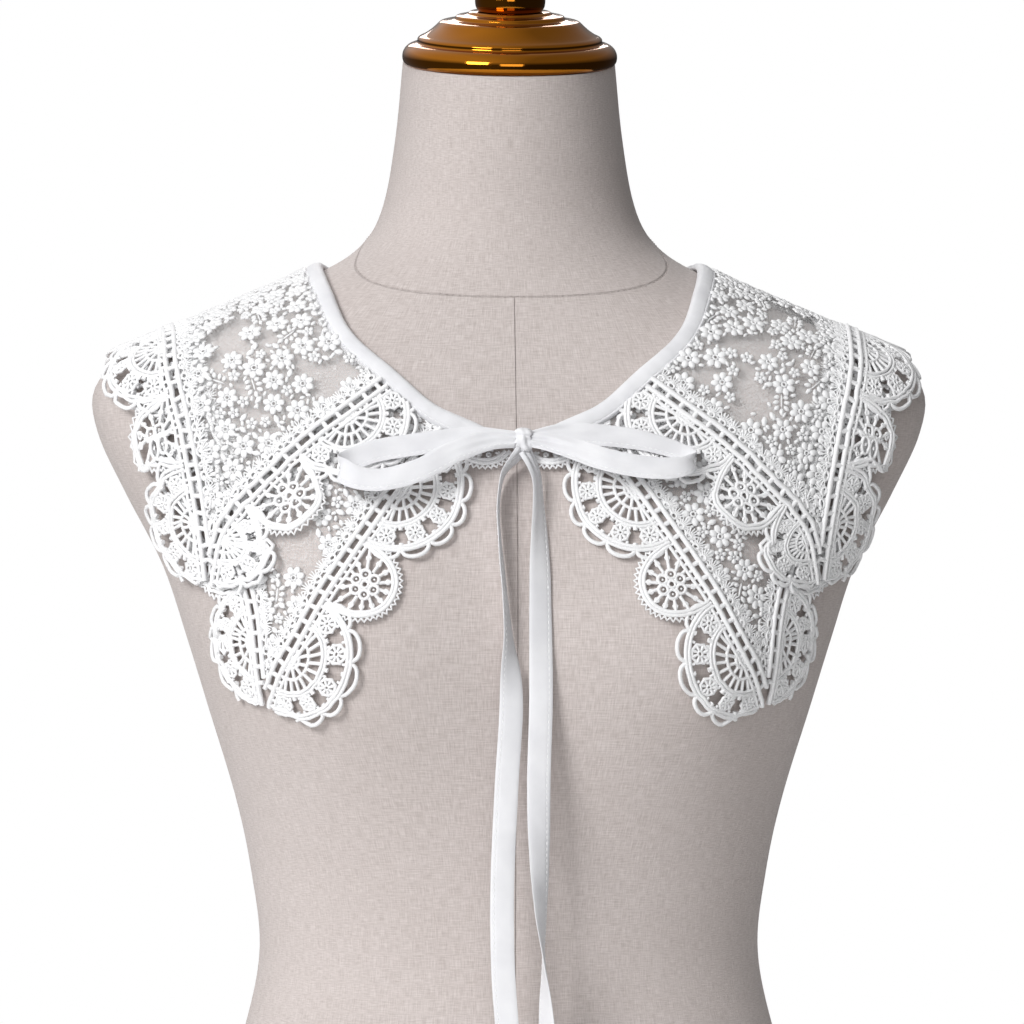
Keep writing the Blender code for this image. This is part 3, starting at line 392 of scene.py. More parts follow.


# Where the seams lie: it dents their groove and places the painted shade along them
def seamMask(tree):  # the neck seam lies in a tilted plane; the others lie at the middle, front and back
    coords = tree.nodes.new("ShaderNodeTexCoord")
    parts = node(tree, "ShaderNodeSeparateXYZ")
    link(tree, coords.outputs["Object"], parts.inputs[0])
    width = seamPlace["width"] * mm

    def math2(operation, a, b):
        made = node(tree, "ShaderNodeMath", operation=operation)
        for index, value in enumerate((a, b)):
            if isinstance(value, (int, float)):
                made.inputs[index].default_value = value
            else:
                link(tree, value, made.inputs[index])
        return made.outputs[0]

    fall = math2("MULTIPLY", parts.outputs["Y"], seamPlace["neckFall"])
    level = math2("SUBTRACT", math2("SUBTRACT", parts.outputs["Z"], fall), seamPlace["neckHeight"] * mm)
    fromNeck = math2("ABSOLUTE", level, 0)
    below = math2("LESS_THAN", level, 0)
    fromMiddle = math2("ABSOLUTE", parts.outputs["X"], 0)
    neck = math2("SUBTRACT", 1.0, math2("MINIMUM", math2("DIVIDE", fromNeck, width), 1.0))
    middle = math2("SUBTRACT", 1.0, math2("MINIMUM", math2("DIVIDE", fromMiddle, width * 0.8), 1.0))
    return math2("MAXIMUM", neck, math2("MULTIPLY", middle, below))


goldLook = {"colour": (0.36, 0.125, 0.010), "roughness": 0.07}


def goldMaterial():
    made, tree, shader = newMaterial("polishedGold")
    shader.inputs["Base Color"].default_value = (*goldLook["colour"], 1)
    shader.inputs["Metallic"].default_value = 1.0
    noise = node(tree, "ShaderNodeTexNoise", Scale=55.0, Detail=3.0)
    link(tree, objectPlace(tree), noise.inputs["Vector"])
    spread = node(tree, "ShaderNodeMapRange")
    spread.inputs["To Min"].default_value = goldLook["roughness"] * 0.7
    spread.inputs["To Max"].default_value = goldLook["roughness"] * 1.6
    link(tree, noise.outputs["Fac"], spread.inputs["Value"])
    link(tree, spread.outputs[0], shader.inputs["Roughness"])
    return made


threadLook = {"colour": (0.90, 0.90, 0.905), "shade": (0.80, 0.80, 0.815), "twistPitch": 0.55}


def threadMaterial(name, look):
    made, tree, shader = newMaterial(name)
    place = objectPlace(tree)
    fine = node(tree, "ShaderNodeTexNoise", Scale=1000 / look["twistPitch"], Detail=2.0)
    link(tree, place, fine.inputs["Vector"])
    colour = ramp(tree, fine.outputs["Fac"], ((0.25, look["shade"]), (0.6, look["colour"])))
    link(tree, colour, shader.inputs["Base Color"])
    shader.inputs["Roughness"].default_value = 0.72
    shader.inputs["Sheen Weight"].default_value = 0.25
    shader.inputs["Specular IOR Level"].default_value = 0.3
    bump(tree, shader, fine.outputs["Fac"], 0.0002, 0.8)
    return made


netLook = {"cell": 1.05, "thread": 0.10, "colour": (0.95, 0.95, 0.955), "haze": 0.04}


def netMaterial():
    made, tree, shader = newMaterial("sheerNet")
    place = objectPlace(tree)
    cells = node(tree, "ShaderNodeTexVoronoi", feature="DISTANCE_TO_EDGE", Scale=1000 / netLook["cell"])
    link(tree, place, cells.inputs["Vector"])
    spread = node(tree, "ShaderNodeMapRange")
    spread.inputs["From Min"].default_value = netLook["thread"] * 0.6
    spread.inputs["From Max"].default_value = netLook["thread"]
    spread.inputs["To Min"].default_value = 0.42
    spread.inputs["To Max"].default_value = netLook["haze"]
    link(tree, cells.outputs["Distance"], spread.inputs["Value"])
    link(tree, spread.outputs[0], shader.inputs["Alpha"])
    shader.inputs["Base Color"].default_value = (*netLook["colour"], 1)
    shader.inputs["Roughness"].default_value = 0.8
    shader.inputs["Sheen Weight"].default_value = 0.2
    return made


tapeLook = {"colour": (0.79, 0.79, 0.81), "shade": (0.72, 0.72, 0.745), "threadPitch": 0.35}


def tapeMaterial():
    made, tree, shader = newMaterial("cottonTape")
    uv = node(tree, "ShaderNodeUVMap", uv_map="cloth")
    fields = []
    for direction in ("X", "Y"):
        wave = node(tree, "ShaderNodeTexWave", wave_type="BANDS", bands_direction=direction,
                    Scale=0.314 / tapeLook["threadPitch"], Distortion=0.6)
        link(tree, uv.outputs["UV"], wave.inputs["Vector"])
        fields.append(wave.outputs["Fac"])
    weave = node(tree, "ShaderNodeMath", operation="MAXIMUM")
    link(tree, fields[0], weave.inputs[0])
    link(tree, fields[1], weave.inputs[1])
    cloud = node(tree, "ShaderNodeTexNoise", Scale=60.0, Detail=4.0)
    link(tree, objectPlace(tree), cloud.inputs["Vector"])
    colour = ramp(tree, cloud.outputs["Fac"], ((0.3, tapeLook["shade"]), (0.65, tapeLook["colour"])))
    link(tree, colour, shader.inputs["Base Color"])
    shader.inputs["Roughness"].default_value = 0.7
    shader.inputs["Sheen Weight"].default_value = 0.2
    first = bump(tree, shader, weave.outputs[0], 0.00008, 0.5)
    bump(tree, shader, cloud.outputs["Fac"], 0.0006, 0.25, first)
    return made


linen = linenMaterial()
gold = goldMaterial()
thread = threadMaterial("laceThread", threadLook)
silk = threadMaterial("embroideryThread", {"colour": (0.92, 0.92, 0.925), "shade": (0.84, 0.84, 0.855),
                                           "twistPitch": 0.4})
net = netMaterial()
tape = tapeMaterial()


# Meshes

def toScene(points):
    return (np.asarray(points) - boxMiddle) * mm


def meshObject(name, points, faces, material, uv=None, smooth=True):
    mesh = bpy.data.meshes.new(name)
    mesh.from_pydata(toScene(points).tolist(), [], [tuple(int(i) for i in f) for f in faces])
    mesh.materials.append(material)
    if uv is not None:
        layer = mesh.uv_layers.new(name="cloth")
        corners = np.array([loop.vertex_index for loop in mesh.loops])
        layer.data.foreach_set("uv", np.asarray(uv, float)[corners].ravel())
    if smooth:
        mesh.shade_smooth()
    made = bpy.data.objects.new(name, mesh)
    scene.collection.objects.link(made)
    return made


def gridFaces(rows, columns, closed):
    i, j = np.meshgrid(np.arange(rows - 1), np.arange(columns if closed else columns - 1), indexing="ij")
    a = i * columns + j
    b = i * columns + (j + 1) % columns
    return np.stack([a, b, b + columns, a + columns], axis=2).reshape(-1, 4)


def outwards(made):
    work = bmesh.new()
    work.from_mesh(made.data)
    bmesh.ops.recalc_face_normals(work, faces=work.faces)
    work.to_mesh(made.data)
    work.free()
    return made


# Geometry Nodes: a round thread swept along every path

def nodeGroup(name, inputs):
    tree = bpy.data.node_groups.new(name, "GeometryNodeTree")
    tree.interface.new_socket("Geometry", in_out="INPUT", socket_type="NodeSocketGeometry")
    sockets = {}
    for label, kind, value in inputs:
        socket = tree.interface.new_socket(label, in_out="INPUT", socket_type=kind)
        if value is not None:
            socket.default_value = value
        sockets[label] = socket.identifier
    tree.interface.new_socket("Geometry", in_out="OUTPUT", socket_type="NodeSocketGeometry")
    start = tree.nodes.new("NodeGroupInput")
    end = tree.nodes.new("NodeGroupOutput")
    return tree, sockets, start, end


def threadTree():
    tree, sockets, start, end = nodeGroup("threadAlongPaths", (
        ("Paths", "NodeSocketObject", None), ("Thread Sides", "NodeSocketInt", 5),
        ("Thread Material", "NodeSocketMaterial", None)))
    paths = node(tree, "GeometryNodeObjectInfo", transform_space="RELATIVE")
    profile = node(tree, "GeometryNodeCurvePrimitiveCircle", mode="RADIUS")
    profile.inputs["Radius"].default_value = 1.0
    sweep = tree.nodes.new("GeometryNodeCurveToMesh")
    sweep.inputs["Fill Caps"].default_value = True
    radius = tree.nodes.new("GeometryNodeInputRadius")
    link(tree, radius.outputs["Radius"], sweep.inputs["Scale"])
    smooth = tree.nodes.new("GeometryNodeSetShadeSmooth")
    real = tree.nodes.new("GeometryNodeRealizeInstances")
    finish = tree.nodes.new("GeometryNodeSetMaterial")
    link(tree, start.outputs["Paths"], paths.inputs["Object"])
    link(tree, start.outputs["Thread Sides"], profile.inputs["Resolution"])
    link(tree, paths.outputs["Geometry"], sweep.inputs["Curve"])
    link(tree, profile.outputs["Curve"], sweep.inputs["Profile Curve"])
    link(tree, sweep.outputs["Mesh"], smooth.inputs["Geometry"])
    link(tree, smooth.outputs["Geometry"], real.inputs["Geometry"])
    link(tree, real.outputs["Geometry"], finish.inputs["Geometry"])
    link(tree, start.outputs["Thread Material"], finish.inputs["Material"])
    link(tree, finish.outputs["Geometry"], end.inputs["Geometry"])
    return tree, sockets


threadGroup, threadSockets = threadTree()


def applied(host, tree, values):  # runs a node tree on a host object and keeps the plain mesh
    modifier = host.modifiers.new("nodes", "NODES")
    modifier.node_group = tree
    for identifier, value in values.items():
        modifier[identifier] = value
    bpy.context.view_layer.update()
    graph = bpy.context.evaluated_depsgraph_get()
    mesh = bpy.data.meshes.new_from_object(host.evaluated_get(graph))
    host.modifiers.remove(modifier)
    host.data = mesh
    return host


def sweepThreads(name, strokes, material, sides=5):
    # strokes: points in millimetres, radius, closed
    curve = bpy.data.curves.new(name + "Paths", "CURVE")
    curve.dimensions = "3D"
    for points, radius, closed in strokes:
        spline = curve.splines.new("POLY")
        spline.points.add(len(points) - 1)
        flat = np.ones((len(points), 4))
        flat[:, :3] = toScene(points)
        spline.points.foreach_set("co", flat.ravel())
        spline.points.foreach_set("radius", np.broadcast_to(np.asarray(radius) * mm, len(points)).astype(float))
        spline.use_cyclic_u = closed
    paths = bpy.data.objects.new(name + "Paths", curve)
    scene.collection.objects.link(paths)
    host = bpy.data.objects.new(name, bpy.data.meshes.new(name))
    scene.collection.objects.link(host)
    applied(host, threadGroup, {threadSockets["Paths"]: paths, threadSockets["Thread Sides"]: sides,
                                threadSockets["Thread Material"]: material})
    bpy.data.objects.remove(paths)
    host.data.name = name
    return host


# Dress form

def buildForm():
    columns, rings = formShape["columns"], formShape["rings"]
    pick = np.linspace(0, len(skin.angles) - 1, columns + 1)[:-1].round().astype(int)
    levels = np.linspace(0, skin.raw.shape[1] - 1, rings).round().astype(int)
    grid = skin.raw[np.ix_(pick, levels)].transpose(1, 0, 2)
    points = grid.reshape(-1, 3)
    faces = gridFaces(rings, columns, True).tolist()
    around = np.concatenate([[0], np.cumsum(np.linalg.norm(np.diff(grid[rings // 3], axis=0), axis=1))])
    along = np.concatenate([[0], np.cumsum(np.linalg.norm(np.diff(grid[:, columns // 2], axis=0), axis=1))])
    uv = np.stack(np.broadcast_arrays(around[None, :], along[:, None]), axis=2).reshape(-1, 2)
    centres = [grid[0].mean(axis=0), grid[-1].mean(axis=0)]
    points = np.vstack([points, centres])
    uv = np.vstack([uv, (0, 0), (0, along[-1])])
    top, base = len(points) - 2, len(points) - 1
    last = (rings - 1) * columns
    faces += [(top, (k + 1) % columns, k) for k in range(columns)]
    faces += [(base, last + k, last + (k + 1) % columns) for k in range(columns)]
    made = outwards(meshObject("linenForm", points, faces, linen, uv))
    made.data.set_sharp_from_angle(angle=math.radians(50))
    full = around[-1] + float(np.linalg.norm(grid[rings // 3, 0] - grid[rings // 3, -1]))
    layer = made.data.uv_layers["cloth"]
    for face in made.data.polygons:  # the last column's cloth runs on instead of turning back
        if {0, columns - 1} <= {k % columns for k in face.vertices if k < top}:
            for corner in face.loop_indices:
                if made.data.loops[corner].vertex_index % columns == 0:
                    layer.data[corner].uv.x = full
    return made


capShape = {
    "cap": ((0, 0.3), (50.6, 0.3), (52.0, 1.6), (52.5, 3.6), (52.3, 5.9), (51.3, 8.0), (49.6, 9.6),
            (47.6, 10.5), (46.2, 10.7), (45.4, 11.0), (45.0, 11.8), (45.1, 12.8), (44.2, 13.8), (42.0, 14.7),
            (39.4, 16.4), (36.6, 18.7), (34.4, 20.9), (33.0, 21.7), (30.5, 21.9), (27.6, 22.2), (26.8, 22.8),
            (26.5, 23.8), (25.2, 24.4), (22.4, 24.6), (20.7, 24.9), (20.3, 25.6), (19.2, 26.2), (0, 26.2)),
    "finial": ((0, 26.5), (15.6, 26.5), (16.8, 28.2), (17.2, 31.0), (17.0, 33.6), (16.0, 36.2), (14.0, 38.8),
               (11.9, 41.0), (10.8, 42.8), (10.6, 44.2), (11.6, 46.0), (12.9, 48.0), (13.5, 50.5),
               (13.2, 53.2), (12.0, 56.2), (9.6, 59.2), (6.0, 61.4), (2.6, 62.5), (0, 62.8)),
    "sides": 128, "rounds": 3,
}


def turnedProfile(rows):  # rounds the corners of a turned outline between its sharp ends
    rows = np.array(rows, float)
    for _ in range(capShape["rounds"] - 1):
        a, b = rows[1:-2], rows[2:-1]
        cut = np.stack([a * 0.75 + b * 0.25, a * 0.25 + b * 0.75], axis=1).reshape(-1, 2)
        rows = np.vstack([rows[:2], cut, rows[-2:]])
    return rows


def buildTurned(name, rows):
    top = skin.raw[:, 0]
    middle = (top[0] + top[len(top) // 2]) / 2
    up = np.array([0, -formShape["levels"][-1][-1], 1.0])
    up /= np.linalg.norm(up)
    side = np.array([1.0, 0, 0])
    back = np.cross(up, side)
    sides = capShape["sides"]
    turns = np.linspace(0, 2 * math.pi, sides, endpoint=False)
    around = np.outer(np.cos(turns), side) + np.outer(np.sin(turns), back)
    rows = turnedProfile(rows)
    rings = [middle + up * height + radius * around for radius, height in rows[1:-1]]
    ends = [middle + up * rows[0][1], middle + up * rows[-1][1]]
    points = np.vstack([*rings, ends])
    faces = gridFaces(len(rings), sides, True).tolist()
    low, high = len(points) - 2, len(points) - 1
    last = (len(rings) - 1) * sides
    faces += [(low, (k + 1) % sides, k) for k in range(sides)]
    faces += [(high, last + k, last + (k + 1) % sides) for k in range(sides)]
    made = outwards(meshObject(name, points, faces, gold))
    made.data.set_sharp_from_angle(angle=math.radians(40))
    return made


form = buildForm()
cap = buildTurned("goldCap", capShape["cap"])
finial = buildTurned("goldFinial", capShape["finial"])
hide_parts("dress_form")
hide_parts("neck_cap")
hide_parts("finial")
for piece, slot in ((form, "linen"), (cap, "gilt"), (finial, "gilt")):
    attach(piece, "root")
print("form, cap and finial done")


# Lines that the collar is laid out on, for the wearer's left; the other side mirrors them

class Tier:
    def __init__(self, frontName, outerName):
        self.frontPath = skinPath(frontName, 90)[::-1]
        self.outerPath = skinPath(outerName, 200)
        self.front = Band(self.frontPath, -1, more=24.0)
        self.outer = Band(self.outerPath, 1, more=8.0)

    def mitre(self, keepFront, gap=0.15):  # the outline of everything past the corner seam
        tip = self.front.at([(0, 0)])[0]
        ways = [band.at([(20, 0)])[0] - tip for band in (self.front, self.outer)]
        ways = [way / np.linalg.norm(way) for way in ways]
        middle = ways[0] + ways[1]
        middle /= np.linalg.norm(middle)
        side = ways[1] - ways[0] if keepFront else ways[0] - ways[1]
        side -= middle * (side @ middle)
        side /= np.linalg.norm(side)
        line = [tip + side * gap + middle * far for far in np.arange(-60, 60, 3.0)]
        return np.array(line + [place + side * 60 for place in line[::-1]])


neckBand = Band(skinPath("neckline", 120), 1, inner=-8, outer=8)
bindingShape = {"width": 9.5, "low": 0.9, "high": 5.2, "start": 7.0, "stations": 190, "stitchPitch": 2.9}


def neckOutline(across):
    side = neckBand.at([(s, across) for s in np.linspace(0, neckBand.length, 160)])
    half = beyondMiddle(side)
    return np.vstack([half, mirrored(half)])


lowerTier = Tier("lowerFront", "lowerOuter")
upperTier = Tier("upperFront", "upperOuter")
neckHole = neckOutline(bindingShape["width"] / 2 - 1.0)
print("seam lines laid out")

# Edging lace. Orders run from the tip: W is wide with rosettes, N narrow with a clover.
laceShape = {
    "base": 3.5, "wideDepth": 26.5, "narrowDepth": 24.5, "wideFull": 58.0, "wideLeast": 0.72,
    "apart": 0.6, "rosettePitch": 12.0, "picotStart": 0.14, "picotDepth": 4.9, "narrowPower": 0.7,
    "ladderPitch": 7.6, "ladderCord": 1.3, "ladderHalf": 2.35, "ladderBar": 1.15,
    "fanPitch": 5.75, "fanSpokes": 9,
    "arcCord": 0.95, "loopCord": 1.0, "fullness": 1.1,
    "lift": {"lower": 2.6, "upper": 5.6},
    "orders": {
        "upperFront": (("W", 44), ("N", 33), ("W", 56), ("N", 33)),
        "lowerFront": (("W", 60), ("N", 34), ("W", 60), ("N", 33)),
        "upperOuter": (("W", 58), ("N", 34)) * 5 + (("W", 58),),
        "lowerOuter": (("W", 58), ("N", 34)) * 6 + (("W", 58),),
    },
}


def bowl(centre, half, depth, turn, power=1.0):
    turn = np.asarray(turn, float)
    return np.stack([centre - half * np.cos(turn),
                     laceShape["base"] + depth * np.clip(np.sin(turn), 0, 1) ** power], axis=-1)


def ringPlaces(x, y, radius, count, turn=0.0, squash=1.0):
    a = np.linspace(0, 2 * math.pi, count, endpoint=False) + turn
    return np.stack([x + radius * np.cos(a), y + radius * squash * np.sin(a)], axis=1)


def straight(start, end, step=2.6):
    return np.linspace(start, end, max(2, int(np.hypot(*(np.subtract(end, start))) / step) + 1))


def rosette(strokes, x, y, radius, turn):
    a = np.linspace(0, 2 * math.pi, 24, endpoint=False)
    reach = radius * (0.94 + 0.09 * np.cos(8 * a))
    edge = np.stack([x + reach * np.cos(a + turn), y + reach * np.sin(a + turn)], axis=1)
    strokes.append((edge, 0.05, 0.72, True))
    strokes.append((ringPlaces(x, y, 1.05, 8), 0.3, 0.58, True))
    for k in range(8):
        way = np.array([math.cos(turn + k * math.pi / 4), math.sin(turn + k * math.pi / 4)])
        strokes.append((np.array([(x, y) + way * 1.2, (x, y) + way * (radius * 0.62), (x, y) + way * radius]),
                        0.15, np.array([0.5, 0.86, 0.6]), False))


def wideScallop(strokes, start, width):
    shape = laceShape
    centre = start + width / 2
    half = width / 2 - shape["apart"]
    least = shape["wideLeast"]
    depth = shape["wideDepth"] * (least + (1 - least) * min(width / shape["wideFull"], 1))
    count = max(3, round(width / shape["rosettePitch"]))
    whole = np.linspace(0.02, math.pi - 0.02, 40)
    for inset, rise, radius in ((-0.85, 0.2, shape["arcCord"]), (0.75, 0.2, shape["arcCord"]),
                                (10.5, 0.1, 0.85), (12.1, 0.1, 0.85)):
        strokes.append((bowl(centre, half - inset, depth - inset, whole), rise, radius, False))
    stops = np.linspace(shape["picotStart"], math.pi - shape["picotStart"], count + 2)
    for a, b in zip(stops[:-1], stops[1:]):
        u = np.linspace(0, math.pi, 11)
        swell = shape["picotDepth"] * np.sin(u) ** 0.75
        turn = (a + b) / 2 - (b - a) * 0.47 * np.cos(u)
        reach = np.stack([centre - (half + swell) * np.cos(turn),
                          shape["base"] + (depth + swell) * np.sin(turn)], axis=1)
        strokes.append((reach, 0.0, shape["loopCord"], False))
    for k in range(count):
        turn = math.pi * (k + 0.5) / count
        x, y = bowl(centre, half - 5.7, depth - 5.7, turn)
        rosette(strokes, x, y, 4.15, turn)
        for shift in (-0.5, 0.5):
            side = turn + shift * math.pi / count * 0.55
            for near, far in ((1.4, 2.9), (8.4, 10.4)):
                strokes.append((np.array([bowl(centre, half - near, depth - near, side),
                                          bowl(centre, half - far, depth - far, side)]), 0.0, 0.72, False))
    for k in range(1, count):
        turn = math.pi * k / count
        for near, far in ((0.4, 2.4), (8.6, 10.6)):
            strokes.append((np.array([bowl(centre, half - near, depth - near, turn),
                                      bowl(centre, half - far, depth - far, turn)]), 0.0, 1.15, False))
    inner, deep = half - 13.2, depth - 13.2
    for share in (0.62, 0.28):
        strokes.append((bowl(centre, inner * share, deep * share, np.linspace(0.05, math.pi - 0.05, 14)),
                        0.0, 0.8, False))
    for low, high, number in ((0.62, 1.05, 10), (0.28, 0.62, 6), (0.0, 0.28, 3)):
        for turn in np.linspace(0.10 * math.pi, 0.90 * math.pi, number):
            strokes.append((np.array([bowl(centre, inner * low, deep * low, turn),
                                      bowl(centre, inner * high, deep * high, turn)]), -0.1, 0.82, False))


def narrowScallop(strokes, start, width):
    shape = laceShape
    centre = start + width / 2
    half, depth, power = width / 2 - shape["apart"], shape["narrowDepth"], shape["narrowPower"]
    whole = np.linspace(0.02, math.pi - 0.02, 38)
    for inset, rise, radius in ((-0.75, 0.2, shape["arcCord"]), (0.8, 0.2, shape["arcCord"])):
        strokes.append((bowl(centre, half - inset, depth - inset, whole, power), rise, radius, False))
    edge = evenly(bowl(centre, half + 1.7, depth + 1.7, np.linspace(0.06, math.pi - 0.06, 90), power), 50)
    middle = np.array([centre, shape["base"] + depth * 0.46])
    for k in range(2, 48, 2):
        a, b = edge[k], edge[k + 2] if k + 2 < len(edge) else edge[-1]
        out = (a + b) / 2 - middle
        out /= np.linalg.norm(out)
        strokes.append((np.array([a, (a + b) / 2 + out * 1.9, b]), 0.0, 0.55, False))
    strokes.append((ringPlaces(*middle, 1.7, 10), 0.25, 0.72, True))
    for k in range(6):
        turn = math.pi / 2 + k * math.pi / 3
        way = np.array([math.cos(turn), math.sin(turn)])
        strokes.append((ringPlaces(*(middle + way * 4.7), 2.2, 10, turn), 0.15, 0.85, True))
        strokes.append((np.array([middle + way * 4.3, middle + way * 5.1]), 0.3, 0.5, False))
    for k in range(14):
        turn = math.pi / 2 + (k + 0.5) * math.pi / 7
        way = np.array([math.cos(turn), math.sin(turn)])
        reach = 7.4
        while reach < 30:
            x, y = middle + way * reach
            across = (x - centre) / (half - 0.4)
            if abs(across) >= 1 or y < 5.2:
                break
            if y > shape["base"] + (depth - 0.4) * math.sin(math.acos(across)) ** power:
                break
            reach += 0.25
        strokes.append((np.array([middle + way * 6.4, middle + way * reach]), 0.0, 0.8, False))
        if reach > 11.5:
            knot = middle + way * (reach + 7.4) / 2
            strokes.append((ringPlaces(*knot, 0.95, 7), 0.1, 0.55, True))


def ladder(strokes, start, end):
    shape = laceShape
    along = stepped(start, end, 2.5)
    for across, radius, rise in ((-shape["ladderHalf"], shape["ladderCord"], 0.25),
                                 (shape["ladderHalf"], shape["ladderCord"], 0.25), (5.3, 0.85, 0.1)):
        strokes.append((np.stack([along, np.full_like(along, across)], axis=1), rise, radius, False))
    for s in np.arange(start + 3.0, end, shape["ladderPitch"]):
        strokes.append((np.array([(s, -1.6), (s, 1.6)]), 0.1, shape["ladderBar"], False))
    for s in np.arange(start + 1.2, end, shape["ladderPitch"] / 2):
        strokes.append((np.array([(s, 2.8), (s, 5.0)]), 0.0, 0.8, False))
    count = int((end - start) / shape["fanPitch"])
    for k in range(count):
        s = start + (k + 0.5) * (end - start) / count
        strokes.append((ringPlaces(s, -5.0, 1.6, 8, 0.4, 0.85), 0.1, 0.62, True))
        for turn in np.linspace(math.radians(186), math.radians(354), shape["fanSpokes"]):
            way = np.array([math.cos(turn) * 0.85, math.sin(turn)])
            strokes.append((np.array([(s, -5.0) + way * 1.5, (s, -5.0) + way * 5.2]), 0.05,
                            np.array([0.46, 0.3]), False))


def scallopsFrom(order, length=None):
    plain = sum(width for _, width in order) - order[-1][1] / 2
    scale = length / plain if length else 1.0
    out, start = [], 0.0
    for kind, width in order:
        out.append((kind, start, width * scale))
        start += width * scale
    return out


def laceStrokes(name, band, end, whole):
    strokes = []
    ladder(strokes, 0.0, end)
    for kind, start, width in scallopsFrom(laceShape["orders"][name], band.length if whole else None):
        if start < end:
            (wideScallop if kind == "W" else narrowScallop)(strokes, start, width)
    return strokes


def laidOnSkin(band, strokes, lift, end, cuts, onlyLeft):
    counts = [len(stroke[0]) for stroke in strokes]
    places = np.vstack([stroke[0] for stroke in strokes])
    chart = band.at(places)
    kept = (places[:, 0] >= -0.2) & (places[:, 0] <= end)
    for cut in cuts:
        kept &= ~inside(chart, cut)
    if onlyLeft:
        kept &= chart[:, 0] >= -0.3
    rises = np.concatenate([np.full(count, stroke[1]) for count, stroke in zip(counts, strokes)])
    loose = np.clip(places[:, 1] / 28, 0, 1) ** 2
    wave = loose * (0.55 + 0.55 * np.sin(places[:, 0] / 7.3) + 0.3 * np.sin(places[:, 0] / 3.1 + 1.3))
    points = skin.at(chart, lift + rises + wave)
    out, at = [], 0
    for count, (_, _, radius, closed) in zip(counts, strokes):
        part, keep = points[at:at + count], kept[at:at + count]
        radii = np.broadcast_to(radius, count) * laceShape["fullness"]
        at += count
        if keep.all():
            out.append((part, radii, closed))
            continue
        k = 0
        while k < count:
            if not keep[k]:
                k += 1
                continue
            last = k
            while last + 1 < count and keep[last + 1]:
                last += 1
            if last > k:
                out.append((part[k:last + 1], radii[k:last + 1], False))
            k = last + 1
    return out


def mirroredStrokes(strokes):
    return [(points * (-1, 1, 1), radius, closed) for points, radius, closed in strokes]


def buildLace(tierName, tier, pieces):
    lift = laceShape["lift"][tierName]
    end = tier.front.span - 0.6
    front = laidOnSkin(tier.front, laceStrokes(tierName + "Front", tier.front, end, False), lift, end,
                       [neckHole, tier.mitre(True)], False)
    end = tier.outer.length + 3.0
    outer = laidOnSkin(tier.outer, laceStrokes(tierName + "Outer", tier.outer, end, True), lift, end,
                       [neckHole, tier.mitre(False)], True)
    for side, strokes in (("left", front), ("right", mirroredStrokes(front))):
        made = sweepThreads(f"{tierName}FrontLace{side.title()}", strokes, thread)
        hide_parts(f"{tierName}_front_lace_{side}")
        pieces.append(made)
    made = sweepThreads(tierName + "OuterLace", outer + mirroredStrokes(outer), thread)
    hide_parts(tierName + "_outer_lace")
    pieces.append(made)
    for made in pieces:
        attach(made, "root")
        print(made.name, len(made.data.loop_triangles), "triangles")


lowerPieces, upperPieces = [], []
buildLace("lower", lowerTier, lowerPieces)
buildLace("upper", upperTier, upperPieces)
print("edging lace done")

# Sheer net of each tier, and the embroidery on it
netShape = {"lift": {"lower": 1.95, "upper": 4.95}, "grid": 5.0, "hem": -3.0, "clear": 1.6}


def turnedLeft(outline):
    x, y = outline[:, 0], outline[:, 1]
    return outline if (x * np.roll(y, -1) - np.roll(x, -1) * y).sum() > 0 else outline[::-1]


def thinned(outline, least=0.8):
    out = [outline[0]]
    for place in outline[1:]:
        if np.linalg.norm(place - out[-1]) > least:
            out.append(place)
    return np.array(out)


def flatRegion(outline, cuts, extra):
    points, faces = [], []
    for ring in (outline, *cuts):
        ring = turnedLeft(thinned(np.asarray(ring)))
        faces.append(list(range(len(points), len(points) + len(ring))))
        points += [Vector((float(x), float(y))) for x, y in ring]
    points += [Vector((float(x), float(y))) for x, y in extra]
    flat, _, triangles, _, _, parents = delaunay_2d_cdt(points, [], faces, 0, 1e-4)
    kept = [tuple(t) for t, owner in zip(triangles, parents) if list(owner) == [0]]
    used = sorted({i for t in kept for i in t})
    place = {old: new for new, old in enumerate(used)}
    return np.array([flat[i][:] for i in used]), np.array([[place[i] for i in t] for t in kept])


def netRegion(tier):
    neck = neckBand.at([(s, 0.0) for s in np.linspace(0, neckBand.length, 120)])
    angle = np.arctan2(neck[:, 0], -neck[:, 1])
    neck = beyondMiddle(neck[angle > np.arctan2(tier.frontPath[-1, 0], -tier.frontPath[-1, 1])])
    half = np.vstack([neck[::-1], tier.frontPath[::-1][1:-1], beyondMiddle(tier.outerPath)])
    outline = np.vstack([half, mirrored(half)])
    strip = np.vstack([tier.front.line(netShape["hem"]), tier.front.line(3.0)[::-1]])
    hem = [beyondMiddle(tier.outer.line(across)) for across in (netShape["hem"], 3.0)]
    hem = np.vstack([hem[0], mirrored(hem[0]), mirrored(hem[1])[::-1], hem[1][::-1]])
    cuts = [strip, mirrored(strip), hem, neckHole]
    low, high = outline.min(0), outline.max(0)
    grid = np.stack(np.meshgrid(np.arange(low[0], high[0], netShape["grid"]),
                                np.arange(low[1], high[1], netShape["grid"])), axis=2).reshape(-1, 2)
    kept = inside(grid, outline)
    for cut in cuts:
        kept &= ~inside(grid, cut)
    grid = grid[kept]
    near = np.min([clearance(grid, shape) for shape in (outline, *cuts)], axis=0)
    return (*flatRegion(outline, cuts, grid[near > netShape["clear"]]), (outline, *cuts))


